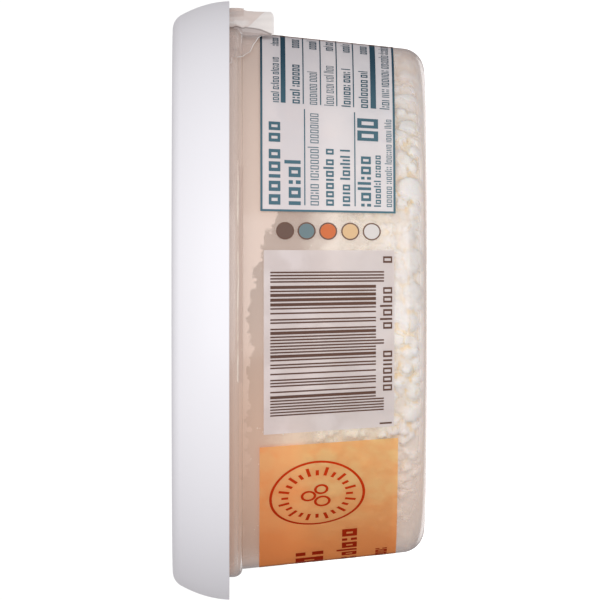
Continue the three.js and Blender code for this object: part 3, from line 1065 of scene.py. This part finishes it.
def inside_radius(z):
    if z <= SHOULDER_Z:
        return inner_wall(z)
    return mix(inner_wall(SHOULDER_Z), COLLAR_R - WALL, smooth((z - SHOULDER_Z) / (SHOULDER_H + 0.4)))


film_points, film_values = [], []
for z in np.linspace(FILM_LOW, FILM_TOP, FILM_ROWS):
    for j in range(FILM_TURNS):
        p = spot(inside_radius(z) + FILM_INTO_WALL, 360 * j / FILM_TURNS, z)
        x = p.x / MM
        film_points.append(p)
        # The last value is the share of painted orange light from the ink.
        film_values.append((z - film_edge(x), z - haze_start(x), smooth((6 - x) / 40)))
whey = new_object("whey_film", film_points, grid_faces(FILM_ROWS, FILM_TURNS, True))
store(whey, ("over_edge", "over_haze", "painted_ink_light_share"), film_values)

# %% [markdown]
# The look of that film reads the stored values. Noise is added to both heights, so that
# the line and the haze turn ragged at the size of crumbs. A faint band of painted shade lies
# under the shoulder, and a painted reflection lightens the mist in the collar. The film is a
# lone Principled shader with a see-through Alpha, so that it needs no other node to mix it with what is
# behind.

# %% Whey finish
WHEY_LOW_COLOUR = shade(248, 236, 222)
WHEY_COLOUR = shade(185, 163, 150)
MIST_COLOUR = shade(234, 211, 197)
# Painted reflection: the mist is lighter in the collar.
COLLAR_PAINTED_REFLECTION = shade(242, 222, 211)
# Painted orange light from the label's ink, in the film beside it.
PAINTED_INK_LIGHT = shade(236, 194, 167)
PAINTED_INK_LIGHT_LOW = shade(255, 223, 190)
PAINTED_INK_LIGHT_MOST = 0.8
# Painted shade: a darker band under the shoulder.
SHOULDER_PAINTED_SHADE = shade(206, 178, 166)
SHOULDER_SHADE_FROM, SHOULDER_SHADE_TO = -13.6 * MM, 22.6 * MM
SHOULDER_SHADE_HEIGHT, SHOULDER_SHADE_HALF, SHOULDER_SHADE_COVER = 32.05 * MM, 0.4 * MM, 0.4
THIN_COVER, WHEY_COVER, MIST_COVER = 0.2, 0.88, 0.86
RAGGED_MM = 9.0
RAGGED_LINE, THICKENS, HIDES_MORE = (-0.12, 0.12), (3.0, 10.0), (-2.0, 5.0) # mm over the line
COLLAR_REFLECTION_HEIGHT = (SHOULDER_Z * MM, (SHOULDER_Z + 1.6) * MM)
BEGINS = (FILM_LOW * MM, (FILM_LOW + 4) * MM)


def whey_finish():
    made, shader = finish("whey_and_mist", WHEY_COLOUR, 0.6, Specular_IOR_Level=0.1)
    uneven = maths(made, "SUBTRACT", clouds(made, 5.0, 8.0, 0.72), 0.5)
    over_edge = maths(made, "MULTIPLY_ADD", uneven, RAGGED_MM, stored(made, "over_edge"))
    over_haze = maths(made, "MULTIPLY_ADD", uneven, RAGGED_MM, stored(made, "over_haze"))
    across, _, height = place_parts(made)
    is_mist = ramp(made, over_edge, *RAGGED_LINE)
    thick = ramp(made, over_haze, *THICKENS)
    # Mist, lightened in the collar by a painted reflection.
    mist_and_reflection = toned(made, MIST_COLOUR, (COLLAR_PAINTED_REFLECTION, height, *COLLAR_REFLECTION_HEIGHT, 1.0))
    # Painted orange light from the ink.
    ink_light = between(made, thick, PAINTED_INK_LIGHT_LOW, PAINTED_INK_LIGHT)
    ink_light_share = times(made, stored(made, "painted_ink_light_share"), PAINTED_INK_LIGHT_MOST)
    # Painted shade under the shoulder.
    run = from_middle(made, height, SHOULDER_SHADE_HEIGHT)
    run_share = ramp(made, run, SHOULDER_SHADE_HALF * 1.5, SHOULDER_SHADE_HALF * 0.7, 0.0, SHOULDER_SHADE_COVER)
    run_share = within(made, run_share, across, SHOULDER_SHADE_FROM, SHOULDER_SHADE_TO)
    colour = between(made, thick, WHEY_LOW_COLOUR, WHEY_COLOUR)
    for share, tone in ((is_mist, mist_and_reflection), (ink_light_share, ink_light), (run_share, SHOULDER_PAINTED_SHADE)):
        colour = between(made, share, colour, tone)
    join(made, colour, shader.inputs["Base Color"])
    hides = ramp(made, over_haze, *HIDES_MORE, THIN_COVER, WHEY_COVER)
    hides = maths(made, "ADD", hides, times(made, is_mist, MIST_COVER - WHEY_COVER))
    join(made, times(made, ramp(made, height, *BEGINS), hides), shader.inputs["Alpha"])
    return made


whey.data.materials.append(whey_finish())
settle(whey, "fresh_cheese")

# %% [markdown]
# Under the lid a film is welded over the flange. It is flat and hidden, but its pull tab
# comes out below the lid's rim. Seen from above, the tab follows the wall, leaves it at a
# crease, stands off it as a flap and ends in a corner that is folded further out. So the
# sheet is a grid, round the tub one way and down the other, and one function gives its
# distance from the middle. A second crease runs slanting across the flap.

# %% Shape of the tab
TAB_TOP = FLANGE_TOP - 1.2
TAB_LEAVES, TAB_STANDS, TAB_BACK = 76.0, 88.0, 90.5
TAB_R, TAB_BACK_R = 50.6, 51.3
TAB_END_Z, TAB_BACK_LOW, TAB_BACK_Z = 26.3, 27.5, 31.5
TAB_CORNER_FROM, TAB_CORNER_WIDE, TAB_CORNER_H = 84.2, 4.2, 1.0
OFF_WALL, OFF_COLLAR, OFF_LID = 0.35, 0.25, 0.2
CREASE_TURN, CREASE_Z, CREASE_SLOPE, CREASE_LIFT = 78.0, 31.7, 0.38, 0.09
RUCKS_CLINGING, RUCKS_LOOSE = 0.1, 0.26
CLING_ENDS = ( # millimetres to the right, height
    (40.7, 33.6), (40.9, 32.6), (42.4, 31.3), (43.0, 30.4), (44.4, 29.8), (45.5, 29.0), (46.2, 27.6))


def tab_end(turn):
    """How low the tab reaches: a round corner on the flap, a slanting line where it clings."""
    if turn > TAB_BACK:
        return mix(TAB_BACK_LOW, TAB_BACK_Z, smooth((turn - TAB_BACK) / 0.8))
    if turn > TAB_LEAVES + 3:
        bend = min(1.0, max(0.0, (turn - TAB_CORNER_FROM) / TAB_CORNER_WIDE))
        return TAB_END_Z + TAB_CORNER_H * (1 - math.sqrt(1 - bend * bend))
    x = (outer_wall(29) + 0.3) * math.sin(math.radians(turn))
    xs, ends = zip(*CLING_ENDS)
    return mix(float(np.interp(x, xs, ends)), TAB_END_Z, smooth((turn - TAB_LEAVES) / 3))


def tab_radius(turn, z):
    on_collar = smooth((z - SHOULDER_Z + 0.4) / 1.8)
    clinging = mix(outer_wall(z) + OFF_WALL, COLLAR_R + OFF_COLLAR, on_collar)
    leaves = TAB_LEAVES + 0.35 * (33 - z)
    if turn < leaves:
        return clinging
    if turn < TAB_STANDS:
        return mix(clinging, TAB_R, (turn - leaves) / (TAB_STANDS - leaves))
    return mix(TAB_R, TAB_BACK_R, smooth((turn - TAB_BACK) / 1.5))


def under_crease(turn, z):
    """How far a point lies below the crease that slants across the flap."""
    return CREASE_Z - CREASE_SLOPE * (turn - CREASE_TURN) - z


def tab_point(turn, down):
    """A point of the tab: how far round, and what share of its length below the flange."""
    z = mix(TAB_TOP, tab_end(turn), down)
    rucks = noise.noise(Vector((turn * 0.14, z * 0.22, 2.0)))
    rucks += 0.5 * noise.noise(Vector((turn * 0.4, z * 0.5, 7.0)))
    loose = smooth((turn - TAB_LEAVES + 4) / 6)
    r = tab_radius(turn, z) + mix(RUCKS_CLINGING, RUCKS_LOOSE, loose) * rucks * down
    r += CREASE_LIFT * loose * max(0.0, under_crease(turn, z))
    return spot(min(r, lid_inside(z) - OFF_LID), turn, z)


print("the flap reaches down to", round(tab_end(TAB_STANDS - 4), 1), "mm over the table")

# %% [markdown]
# The sheet of the tab keeps five values for its finish: where it is a flap, where it stands
# off the wall, where painted light makes it pale below the crease and on a lip, where the
# fold and a ruck get painted shade, and where its cut edge is. The seal itself is a plain
# turned disc.

# %% Film seal and its tab
SEAL_R, SEAL_H, SEAL_LIFT = 49.1, 0.2, 0.05
TAB_FROM, TAB_TO = 57.4, 103.0
TAB_COLUMNS, TAB_ROWS = 220, 80
RUCK_TURN, RUCK_Z = 63.3, 31.4
FOLD = ((26.3, 78.2), (28.7, 79.4), (31.3, 80.1), (33.6, 76.8)) # height, turn

tab_points, tab_values = [], []
fold_heights, fold_turns = zip(*FOLD)
for i in range(TAB_ROWS):
    for j in range(TAB_COLUMNS):
        turn = mix(TAB_FROM, TAB_TO, j / (TAB_COLUMNS - 1))
        p = tab_point(turn, i / (TAB_ROWS - 1))
        z = p.z / MM
        over_fold = turn - float(np.interp(z, fold_heights, fold_turns))
        lip = smooth(1.4 - abs(over_fold - 2.2) / 1.6) * smooth((z - 30) / 1.5)
        ruck = smooth(1.2 - abs(turn - RUCK_TURN) / 0.35) * smooth((z - RUCK_Z) / 0.3)
        is_flap = smooth(over_fold / 0.4 + 0.5)
        stands = smooth((turn - TAB_LEAVES) / 2.0)
        # Painted light below the crease and on the lip; painted shade in the fold and a ruck.
        is_pale = max(smooth(under_crease(turn, z) * 3 + 0.5), 0.7 * lip)
        is_dark = max(smooth(1.3 - abs(over_fold) / 0.35), 0.5 * ruck)
        is_rim = float(i >= TAB_ROWS - 2 or j < 2 or j > TAB_COLUMNS - 3)
        tab_points.append(p)
        tab_values.append((is_flap, stands, is_pale, is_dark, is_rim))
tab = new_object("film_tab", tab_points, grid_faces(TAB_ROWS, TAB_COLUMNS, False))
store(tab, ("is_flap", "stands", "is_pale", "is_dark", "is_rim"), tab_values)

low = FLANGE_TOP + SEAL_LIFT
high = low + SEAL_H
seal = turned("film_seal", [(0, low), (SEAL_R, low), (SEAL_R, high), (0, high)], ROUND_STEPS)

# %% [markdown]
# The tab's film is clear too, but creasing turns plastic film white, so the flap hides more
# than the part that clings. Its light and shade are painted: pale below the crease, dark in
# the fold, and a painted highlight on its cut edge. The stored values say where.

# %% Film finishes
CLING_TONE, STANDING_TONE = shade(246, 229, 222), shade(196, 180, 174)
# The flap's tone, and its painted light below the crease.
FLAP_TONE, PAINTED_LIGHT_TONE = shade(235, 216, 206), shade(255, 248, 243)
# Painted shade in the fold, painted highlight on the cut edge.
FOLD_PAINTED_SHADE, RIM_PAINTED_HIGHLIGHT = shade(128, 110, 104), shade(255, 250, 246)
CLING_COVER, STANDING_COVER, RIM_COVER = 0.3, 0.88, 0.85

seal_look = clear_finish(
    "clear_film", shade(236, 222, 212), shade(200, 178, 166), milk=0.42, edge_milk=0.9,
    gloss_roughness=0.1, bump_mm=0.01)
seal.data.materials.append(seal_look)
settle(seal, "clear_film", "seal_film")

tab_look, tab_shader = finish("creased_film", shade(238, 222, 214), 0.22, IOR=1.5)
flap, stands, pale, dark, rim = (
    stored(tab_look, name) for name in ("is_flap", "stands", "is_pale", "is_dark", "is_rim"))
# The flap with its painted light.
flap_tone_and_light = between(tab_look, pale, FLAP_TONE, PAINTED_LIGHT_TONE)
tab_tone = between(tab_look, stands, CLING_TONE, STANDING_TONE)
for share, tone in ((flap, flap_tone_and_light), (dark, FOLD_PAINTED_SHADE), (rim, RIM_PAINTED_HIGHLIGHT)):
    tab_tone = between(tab_look, share, tab_tone, tone)
join(tab_look, tab_tone, tab_shader.inputs["Base Color"])
tab_cover = ramp(tab_look, stands, 0.0, 1.0, CLING_COVER, STANDING_COVER)
tab_cover = maths(tab_look, "MAXIMUM", tab_cover, times(tab_look, rim, RIM_COVER))
join(tab_look, tab_cover, tab_shader.inputs["Alpha"])
relief(tab_look, tab_shader, clouds(tab_look, 1.6, 3.0), 0.03)
tab.data.materials.append(tab_look)
settle(tab, "clear_film", "seal_film")

# %% [markdown]
# The print is thin ink on the cone of the wall. Every mark is a small grid of points given
# as a turn and a height, so it bends round the wall exactly, and lies a few hundredths of
# a millimetre off it: grounds first, inks over them. The print sits a little askew on the
# tub, so its marks turn slightly as they rise.

# %% Shapes for the print
def bar(turn_a, turn_b, z_a, z_b):
    """A patch of the wall between two turns and two heights."""
    steps = max(2, math.ceil(abs(turn_b - turn_a) / 1.2) + 1)
    levels = max(2, math.ceil(abs(z_b - z_a) / 4) + 1)
    turns = [mix(turn_a, turn_b, i / (steps - 1)) for i in range(steps)]
    return [[(turn, mix(z_a, z_b, k / (levels - 1))) for turn in turns] for k in range(levels)]


def flat_place(turn, z, right, above):
    """The turn and height of a point some millimetres beside and above a place."""
    return turn + math.degrees(right / outer_wall(z)), z + above


def ring(turn, z, inner, outer, steps=48):
    """A disc or ring laid on the wall; the last point of each row is its first again."""
    angles = np.linspace(0, 2 * math.pi, steps + 1)
    rows = []
    for radius in np.linspace(inner, outer, 3 if inner < 0.1 else 2):
        rows.append([flat_place(turn, z, radius * math.sin(a), radius * math.cos(a)) for a in angles])
    return rows


def frame_mark(turn_a, turn_b, z_a, z_b, line_turn, line_z):
    """An empty box: two uprights and two level strokes."""
    return [
        bar(turn_a, turn_a + line_turn, z_a, z_b),
        bar(turn_b - line_turn, turn_b, z_a, z_b),
        bar(turn_a + line_turn, turn_b - line_turn, z_a, z_a + line_z),
        bar(turn_a + line_turn, turn_b - line_turn, z_b - line_z, z_b),
    ]


print("a degree round the wall is", round(math.radians(1) * outer_wall(20), 2), "mm")

# %% [markdown]
# Nothing on this tub is written: rows of small upright marks, of four kinds, keep the tone
# and the rhythm of small type. `printed` lays a list of shapes on the wall as one mesh.

# %% Rows of marks
GROUND_LIFT, INK_LIFT = 0.03, 0.05
ASKEW, ASKEW_FROM = 0.022, 17.0 # degrees for each millimetre up, and the height left in place
LOW_SHARE, SPLIT_FOOT, SPLIT_HEAD, BOX_INSIDE = 0.74, 0.3, 0.26, 0.22 # of a mark's height


def mark_row(turn_a, turn_b, z_a, z_b, seed, weight=0.2, word=6):
    """A row of upright marks in groups; weight is a stroke's width as a share of the height."""
    rule = random.Random(seed)
    tall = z_b - z_a
    stroke_z = weight * tall
    stroke = math.degrees(stroke_z / outer_wall(z_a))
    space = math.degrees((0.12 + 0.4 * weight) * tall / outer_wall(z_a))
    box = stroke * 2 + math.degrees(BOX_INSIDE * tall / outer_wall(z_a))
    low_top = z_a + LOW_SHARE * tall
    spans = {
        "tall": [(z_a, z_b)],
        "low": [(z_a, low_top)],
        "split": [(z_a, z_a + SPLIT_FOOT * tall), (low_top - SPLIT_HEAD * tall, low_top)],
    }
    made, turn, left = [], turn_a, rule.randint(word - 2, word + 2)
    while turn + box < turn_b:
        kind = rule.choice(("tall", "low", "split", "box", "box", "box"))
        wide = box if kind == "box" else stroke
        if kind == "box":
            made += frame_mark(turn, turn + wide, z_a, low_top, stroke, stroke_z * 0.7)
        else:
            made += [bar(turn, turn + wide, low, high) for low, high in spans[kind]]
        turn += wide + space
        left -= 1
        if left == 0:
            turn += space * 1.6
            left = rule.randint(word - 2, word + 2)
    return made


def printed(name, shapes, lift, material):
    points, faces = [], []
    for rows in shapes:
        start = len(points)
        for row in rows:
            points += [spot(outer_wall(z) + lift, turn - ASKEW * (z - ASKEW_FROM), z) for turn, z in row]
        faces += grid_faces(len(rows), len(rows[0]), False, start)
    made = new_object(name, points, faces)
    work = bmesh.new()
    work.from_mesh(made.data)
    bmesh.ops.remove_doubles(work, verts=work.verts, dist=1e-7)
    for face in work.faces:
        middle = face.calc_center_median()
        if face.normal.x * middle.x + face.normal.y * middle.y < 0:
            face.normal_flip()
    work.to_mesh(made.data)
    work.free()
    made.data.materials.append(material)
    settle(made, "wall_print")


# %% [markdown]
# Printing inks on clear plastic are never quite opaque: what is behind them shows as a
# change of tone. White ink looks grey for that reason. At a slant the eye looks through
# more of the ink, so its colour deepens, and right at the tub's edge it drowns in the
# plastic's brown. One function makes all the inks from a table of those colours. A ground,
# which has a tint, is a glaze: what shows through it is tinted, a painted shade of the lumps
# that press on the wall lies in it, and it throws no shadow on them, because such an ink
# passes on most of the light that falls on it.

# %% Ink finishes
NO_TINT = (1, 1, 1, 1)
TOP_FROM, TOP_FULL, BLOTCHES = 13 * MM, 28 * MM, 16 * MM
INK_SLANT, INK_EDGE = (0.1, 0.7), (0.86, 0.98)
LUMP_SIZE, LUMP_SHADE_RANGE = 4.4, (0.2, 0.62)
INKS = { # in front of cheese, in front of the empty top, at a slant, cover, tint of a ground
    "white_ink": ((240, 235, 237), (236, 230, 232), (234, 232, 236), 0.78, NO_TINT),
    "teal_ink": ((88, 122, 134), (84, 118, 132), (50, 78, 94), 0.95),
    "brown_ink": ((104, 78, 68), (100, 76, 68), (90, 66, 58), 0.95),
    "code_ground_ink": ((224, 214, 212), (232, 223, 222), (210, 198, 195), 0.8, NO_TINT),
    "orange_ground_ink": ((255, 217, 150), (250, 194, 134), (255, 157, 93), 0.63, (1.0, 0.71, 0.4, 1)),
    "red_ink": ((214, 60, 18), (208, 58, 20), (158, 38, 14), 0.94),
}


def painted_lump_shade(material):
    """Painted shade of the lumps that press on the wall: 0 in a lump's middle, more in the gaps."""
    place, scale = swayed_place(material, 2.2, 2.4), 1 / (LUMP_SIZE * MM)
    cells = node(material, "TexVoronoi", {"feature": "SMOOTH_F1"}, Vector=place, Scale=scale)
    cells.inputs["Smoothness"].default_value = 0.25
    gaps = ramp(material, cells.outputs["Distance"], *LUMP_SHADE_RANGE)
    return times(material, gaps, ramp(material, clouds(material, 7.0), 0.35, 0.6, 0.1, 0.52))


def ink(name, colour, high_colour, slanted, cover, tint=None):
    colour, high_colour, slanted = shade(*colour), shade(*high_colour), shade(*slanted)
    made, shader = finish(name, colour, 0.42, Specular_IOR_Level=0.0)
    blotches = times(made, maths(made, "SUBTRACT", clouds(made, 4.5, 3.0), 0.5), BLOTCHES)
    height = maths(made, "ADD", place_parts(made)[2], blotches)
    tone = toned(made, colour, (high_colour, height, TOP_FROM, TOP_FULL, 1.0))
    if tint:
        # Painted shade of the lumps behind, in the slanted colour.
        tone = between(made, painted_lump_shade(made), tone, slanted)
    facing = node(made, "LayerWeight", Blend=0.5).outputs["Facing"]
    tone = toned(made, tone, (slanted, facing, *INK_SLANT, 1.0), (EDGE_TINT, facing, *INK_EDGE, 1.0))
    join(made, tone, shader.inputs["Base Color"])
    if not tint:
        shader.inputs["Alpha"].default_value = cover
        return made
    is_shadow = node(made, "LightPath").outputs["Is Shadow Ray"]
    through = node(made, "BsdfTransparent", Color=between(made, is_shadow, tint, NO_TINT))
    share = times(made, maths(made, "SUBTRACT", 1.0, is_shadow), cover)
    show(made, laid_over(made, share, through, shader))
    return made


inks = {name: ink(name, *row) for name, row in INKS.items()}
print("inks:", list(inks))

# %% [markdown]
# The facts panel: a white ground with a teal outline, two columns, thin rules and two
# heavy ones. Its rows are listed once, by height, and marks fill them.

# %% Facts panel
PANEL_FROM, PANEL_TO = 19.4, 97.0
PANEL_LOW, PANEL_HIGH = 5.47, 28.75
OUTLINE, RULE = 0.38, 0.2
LEFT_FROM, LEFT_TO = 20.9, 46.0
RIGHT_FROM, RIGHT_TO = 47.6, 94.0
AMOUNTS_FROM, AMOUNTS_TO = 72.5, 82.0
LEFT_RULES, RIGHT_RULES = (21.0, 12.35), (21.2, 18.2, 15.4, 12.5)
HEAVY_RULES = ((24.35, 25.2), (8.7, 9.65)) # low, high
SMALL_FRAMES = ((37.6, 40.5), (41.3, 44.2)) # first turn, last turn
LEFT_ROWS = [ # last turn, low, high, stroke
    (44.6, 25.3, 28.0, 0.25),
    (34.5, 21.8, 24.6, 0.25),
    (44.8, 18.7, 20.6, 0.1),
    (36.5, 16.1, 17.9, 0.22),
    (36.5, 13.3, 15.0, 0.22),
    (34.8, 9.7, 12.0, 0.23),
    (34.8, 8.0, 9.2, 0.22),
    (44.4, 6.1, 7.3, 0.14),
]
RIGHT_ROWS = [ # last turn, low, high, stroke
    (66.0, 25.5, 26.9, 0.17),
    (64.0, 21.9, 23.6, 0.2),
    (61.5, 18.9, 20.6, 0.11),
    (63.5, 16.0, 17.7, 0.11),
    (63.8, 13.1, 14.7, 0.2),
    (63.6, 10.1, 11.7, 0.2),
    (86.0, 6.4, 8.1, 0.14),
]
line_turn = math.degrees(OUTLINE / 46)
facts = [
    bar(PANEL_FROM, PANEL_TO, PANEL_HIGH - OUTLINE, PANEL_HIGH),
    bar(PANEL_FROM, PANEL_TO, PANEL_LOW, PANEL_LOW + OUTLINE),
    bar(PANEL_FROM, PANEL_FROM + line_turn, PANEL_LOW, PANEL_HIGH),
    bar(PANEL_TO - line_turn, PANEL_TO, PANEL_LOW, PANEL_HIGH),
]
for k, (last, low, high, weight) in enumerate(LEFT_ROWS):
    facts += mark_row(LEFT_FROM, last, low, high, 100 + k, weight)
facts += [bar(LEFT_FROM, LEFT_TO, low, low + RULE) for low in LEFT_RULES]
for first, last in SMALL_FRAMES:
    facts += frame_mark(first, last, 8.4, 12.0, 0.9, 0.75)
for k, (last, low, high, weight) in enumerate(RIGHT_ROWS):
    facts += mark_row(RIGHT_FROM, last, low, high, 200 + k, weight)
    if last < AMOUNTS_FROM:
        facts += mark_row(AMOUNTS_FROM, AMOUNTS_TO, low, high, 300 + k, 0.2)
facts += [bar(RIGHT_FROM, RIGHT_TO, low, low + RULE) for low in RIGHT_RULES]
facts += [bar(RIGHT_FROM, RIGHT_TO, low, high) for low, high in HEAVY_RULES]

panel = [bar(PANEL_FROM, PANEL_TO, PANEL_LOW, PANEL_HIGH)]
printed("print_facts_ground", panel, GROUND_LIFT, inks["white_ink"])
printed("print_facts_ink", facts, INK_LIFT, inks["teal_ink"])

# %% [markdown]
# Five colour spots stand one over another between the bar code and the facts panel, each
# with a thin dark outline. They are the press marks that show all inks of the pack.

# %% Colour spots
SPOT_TURN, SPOT_R, SPOT_LINE = 15.12, 1.56, 0.24
SPOTS = [(24.5, (112, 90, 82)), (20.8, (115, 136, 141)), (17.1, (214, 116, 70)),
         (13.3, (228, 192, 147)), (9.6, (224, 219, 216))]
OUTLINE_COLOUR, SPOT_COVER = (112, 86, 76), 0.94
outlines = []
for k, (height, colour) in enumerate(SPOTS):
    spot_ink = ink(f"spot_ink_{k}", colour, colour, colour, SPOT_COVER, NO_TINT)
    printed(f"print_spot_{k}", [ring(SPOT_TURN, height, 0.0, SPOT_R - SPOT_LINE)], GROUND_LIFT, spot_ink)
    outlines.append(ring(SPOT_TURN, height, SPOT_R - SPOT_LINE, SPOT_R))
outline_ink = ink("spot_outline_ink", *[OUTLINE_COLOUR] * 3, SPOT_COVER, NO_TINT)
printed("print_spot_outlines", outlines, INK_LIFT, outline_ink)

# %% [markdown]
# A bar code in the usual proportions, but its bars follow a rule of their own and stand for
# no number. Bars and spaces are one to three modules wide, narrow ones the most often, and
# the bars at both ends and in the middle are longer. Small frames stand in the row below.

# %% Bar code
CODE_FROM, CODE_TO = -29.45, 10.9
CODE_LOW, CODE_HIGH = 5.71, 28.17
BARS_FROM, BARS_TO = -25.2, 6.6
BARS_LOW, GUARD_LOW, BARS_HIGH = 8.89, 7.51, 27.05
MODULES = 95
GUARDS = ((0, 10), (46, 50), (85, 95))
WIDTHS = (1, 1, 1, 1, 2, 2, 3)
SMALL_ROWS = ((-28.7, -26.9), (-20.6, -10.6), (-6.5, 3.6), (8.1, 9.9)) # first turn, last turn
SMALL_LOW, SMALL_HIGH = 6.1, 8.2
module = (BARS_TO - BARS_FROM) / MODULES
rhythm = random.Random(52)
code, k = [], 0
while k < MODULES:
    is_guard = any(a <= k < b for a, b in GUARDS)
    wide = min(1 if is_guard else rhythm.choice(WIDTHS), MODULES - k)
    low = GUARD_LOW if is_guard else BARS_LOW
    code.append(bar(BARS_FROM + k * module, BARS_FROM + (k + wide) * module, low, BARS_HIGH))
    k += wide + (1 if is_guard else rhythm.choice(WIDTHS))
for first, last in SMALL_ROWS:
    code += mark_row(first, last, SMALL_LOW, SMALL_HIGH, 400 + round(last), 0.16, 9)

code_field = [bar(CODE_FROM, CODE_TO, CODE_LOW, CODE_HIGH)]
printed("print_code_ground", code_field, GROUND_LIFT, inks["code_ground_ink"])
printed("print_code_bars", code, INK_LIFT, inks["brown_ink"])

# %% [markdown]
# The front label is one warm orange field that runs round the far side of the tub. Its
# design is a plain one: a medallion of rays round three crumbs, and rows of upright marks
# in three sizes, as a label's lines would be.

# %% Front label
LABEL_FROM, LABEL_TO = -32.55, -173.0
LABEL_LOW, LABEL_HIGH = 5.0, 28.87
MEDALLION_R, MEDALLION_LINE = 8.3, 0.46
MEDALLION_TURN, MEDALLION_Z = -47.5, 18.9
RAYS, RAY_FROM, RAY_SHORT, RAY_LONG, RAY_HALF = 24, 5.0, 6.2, 6.9, 0.28
CRUMB_OUTLINES = ((-1.5, -0.9, 1.45), (1.6, -0.7, 1.25), (0.1, 1.5, 1.35)) # right, above, radius
LABEL_ROWS = [ # last turn, low, high, stroke
    (-72.6, 17.7, 24.2, 0.34),
    (-61.4, 11.9, 15.4, 0.3),
    (-75.5, 6.6, 9.3, 0.24),
]


def medallion(turn, z):
    shapes = [ring(turn, z, MEDALLION_R - MEDALLION_LINE, MEDALLION_R, 96)]
    for k in range(RAYS):
        a = 2 * math.pi * k / RAYS
        rows = []
        for radius in (RAY_FROM, RAY_LONG if k % 2 else RAY_SHORT):
            ends = [(radius * math.sin(a) + s * RAY_HALF * math.cos(a),
                     radius * math.cos(a) - s * RAY_HALF * math.sin(a)) for s in (-1, 1)]
            rows.append([flat_place(turn, z, right, above) for right, above in ends])
        shapes.append(rows)
    for right, above, radius in CRUMB_OUTLINES:
        shapes.append(ring(*flat_place(turn, z, right, above), radius - MEDALLION_LINE, radius, 32))
    return shapes


ends_of_label = LABEL_FROM + LABEL_TO
label = medallion(MEDALLION_TURN, MEDALLION_Z) + medallion(ends_of_label - MEDALLION_TURN, MEDALLION_Z)
for k, (last, low, high, weight) in enumerate(LABEL_ROWS):
    row = mark_row(ends_of_label - last, last, low, high, 501 + k, weight, 8)
    slack = last - max(turn for shape in row for line in shape for turn, _ in line)
    label += [[[(turn + slack, z) for turn, z in line] for line in shape] for shape in row]

label_field = [bar(LABEL_FROM, LABEL_TO, LABEL_LOW, LABEL_HIGH)]
printed("print_front_ground", label_field, GROUND_LIFT, inks["orange_ground_ink"])
printed("print_front_ink", label, INK_LIFT, inks["red_ink"])

# %% [markdown]
# Last, the scene is brought up to date. What shows must agree with the solids to a few
# millimetres, because the solids are what a simulation holds and touches.

# %% Bring the scene up to date
bpy.context.view_layer.update()
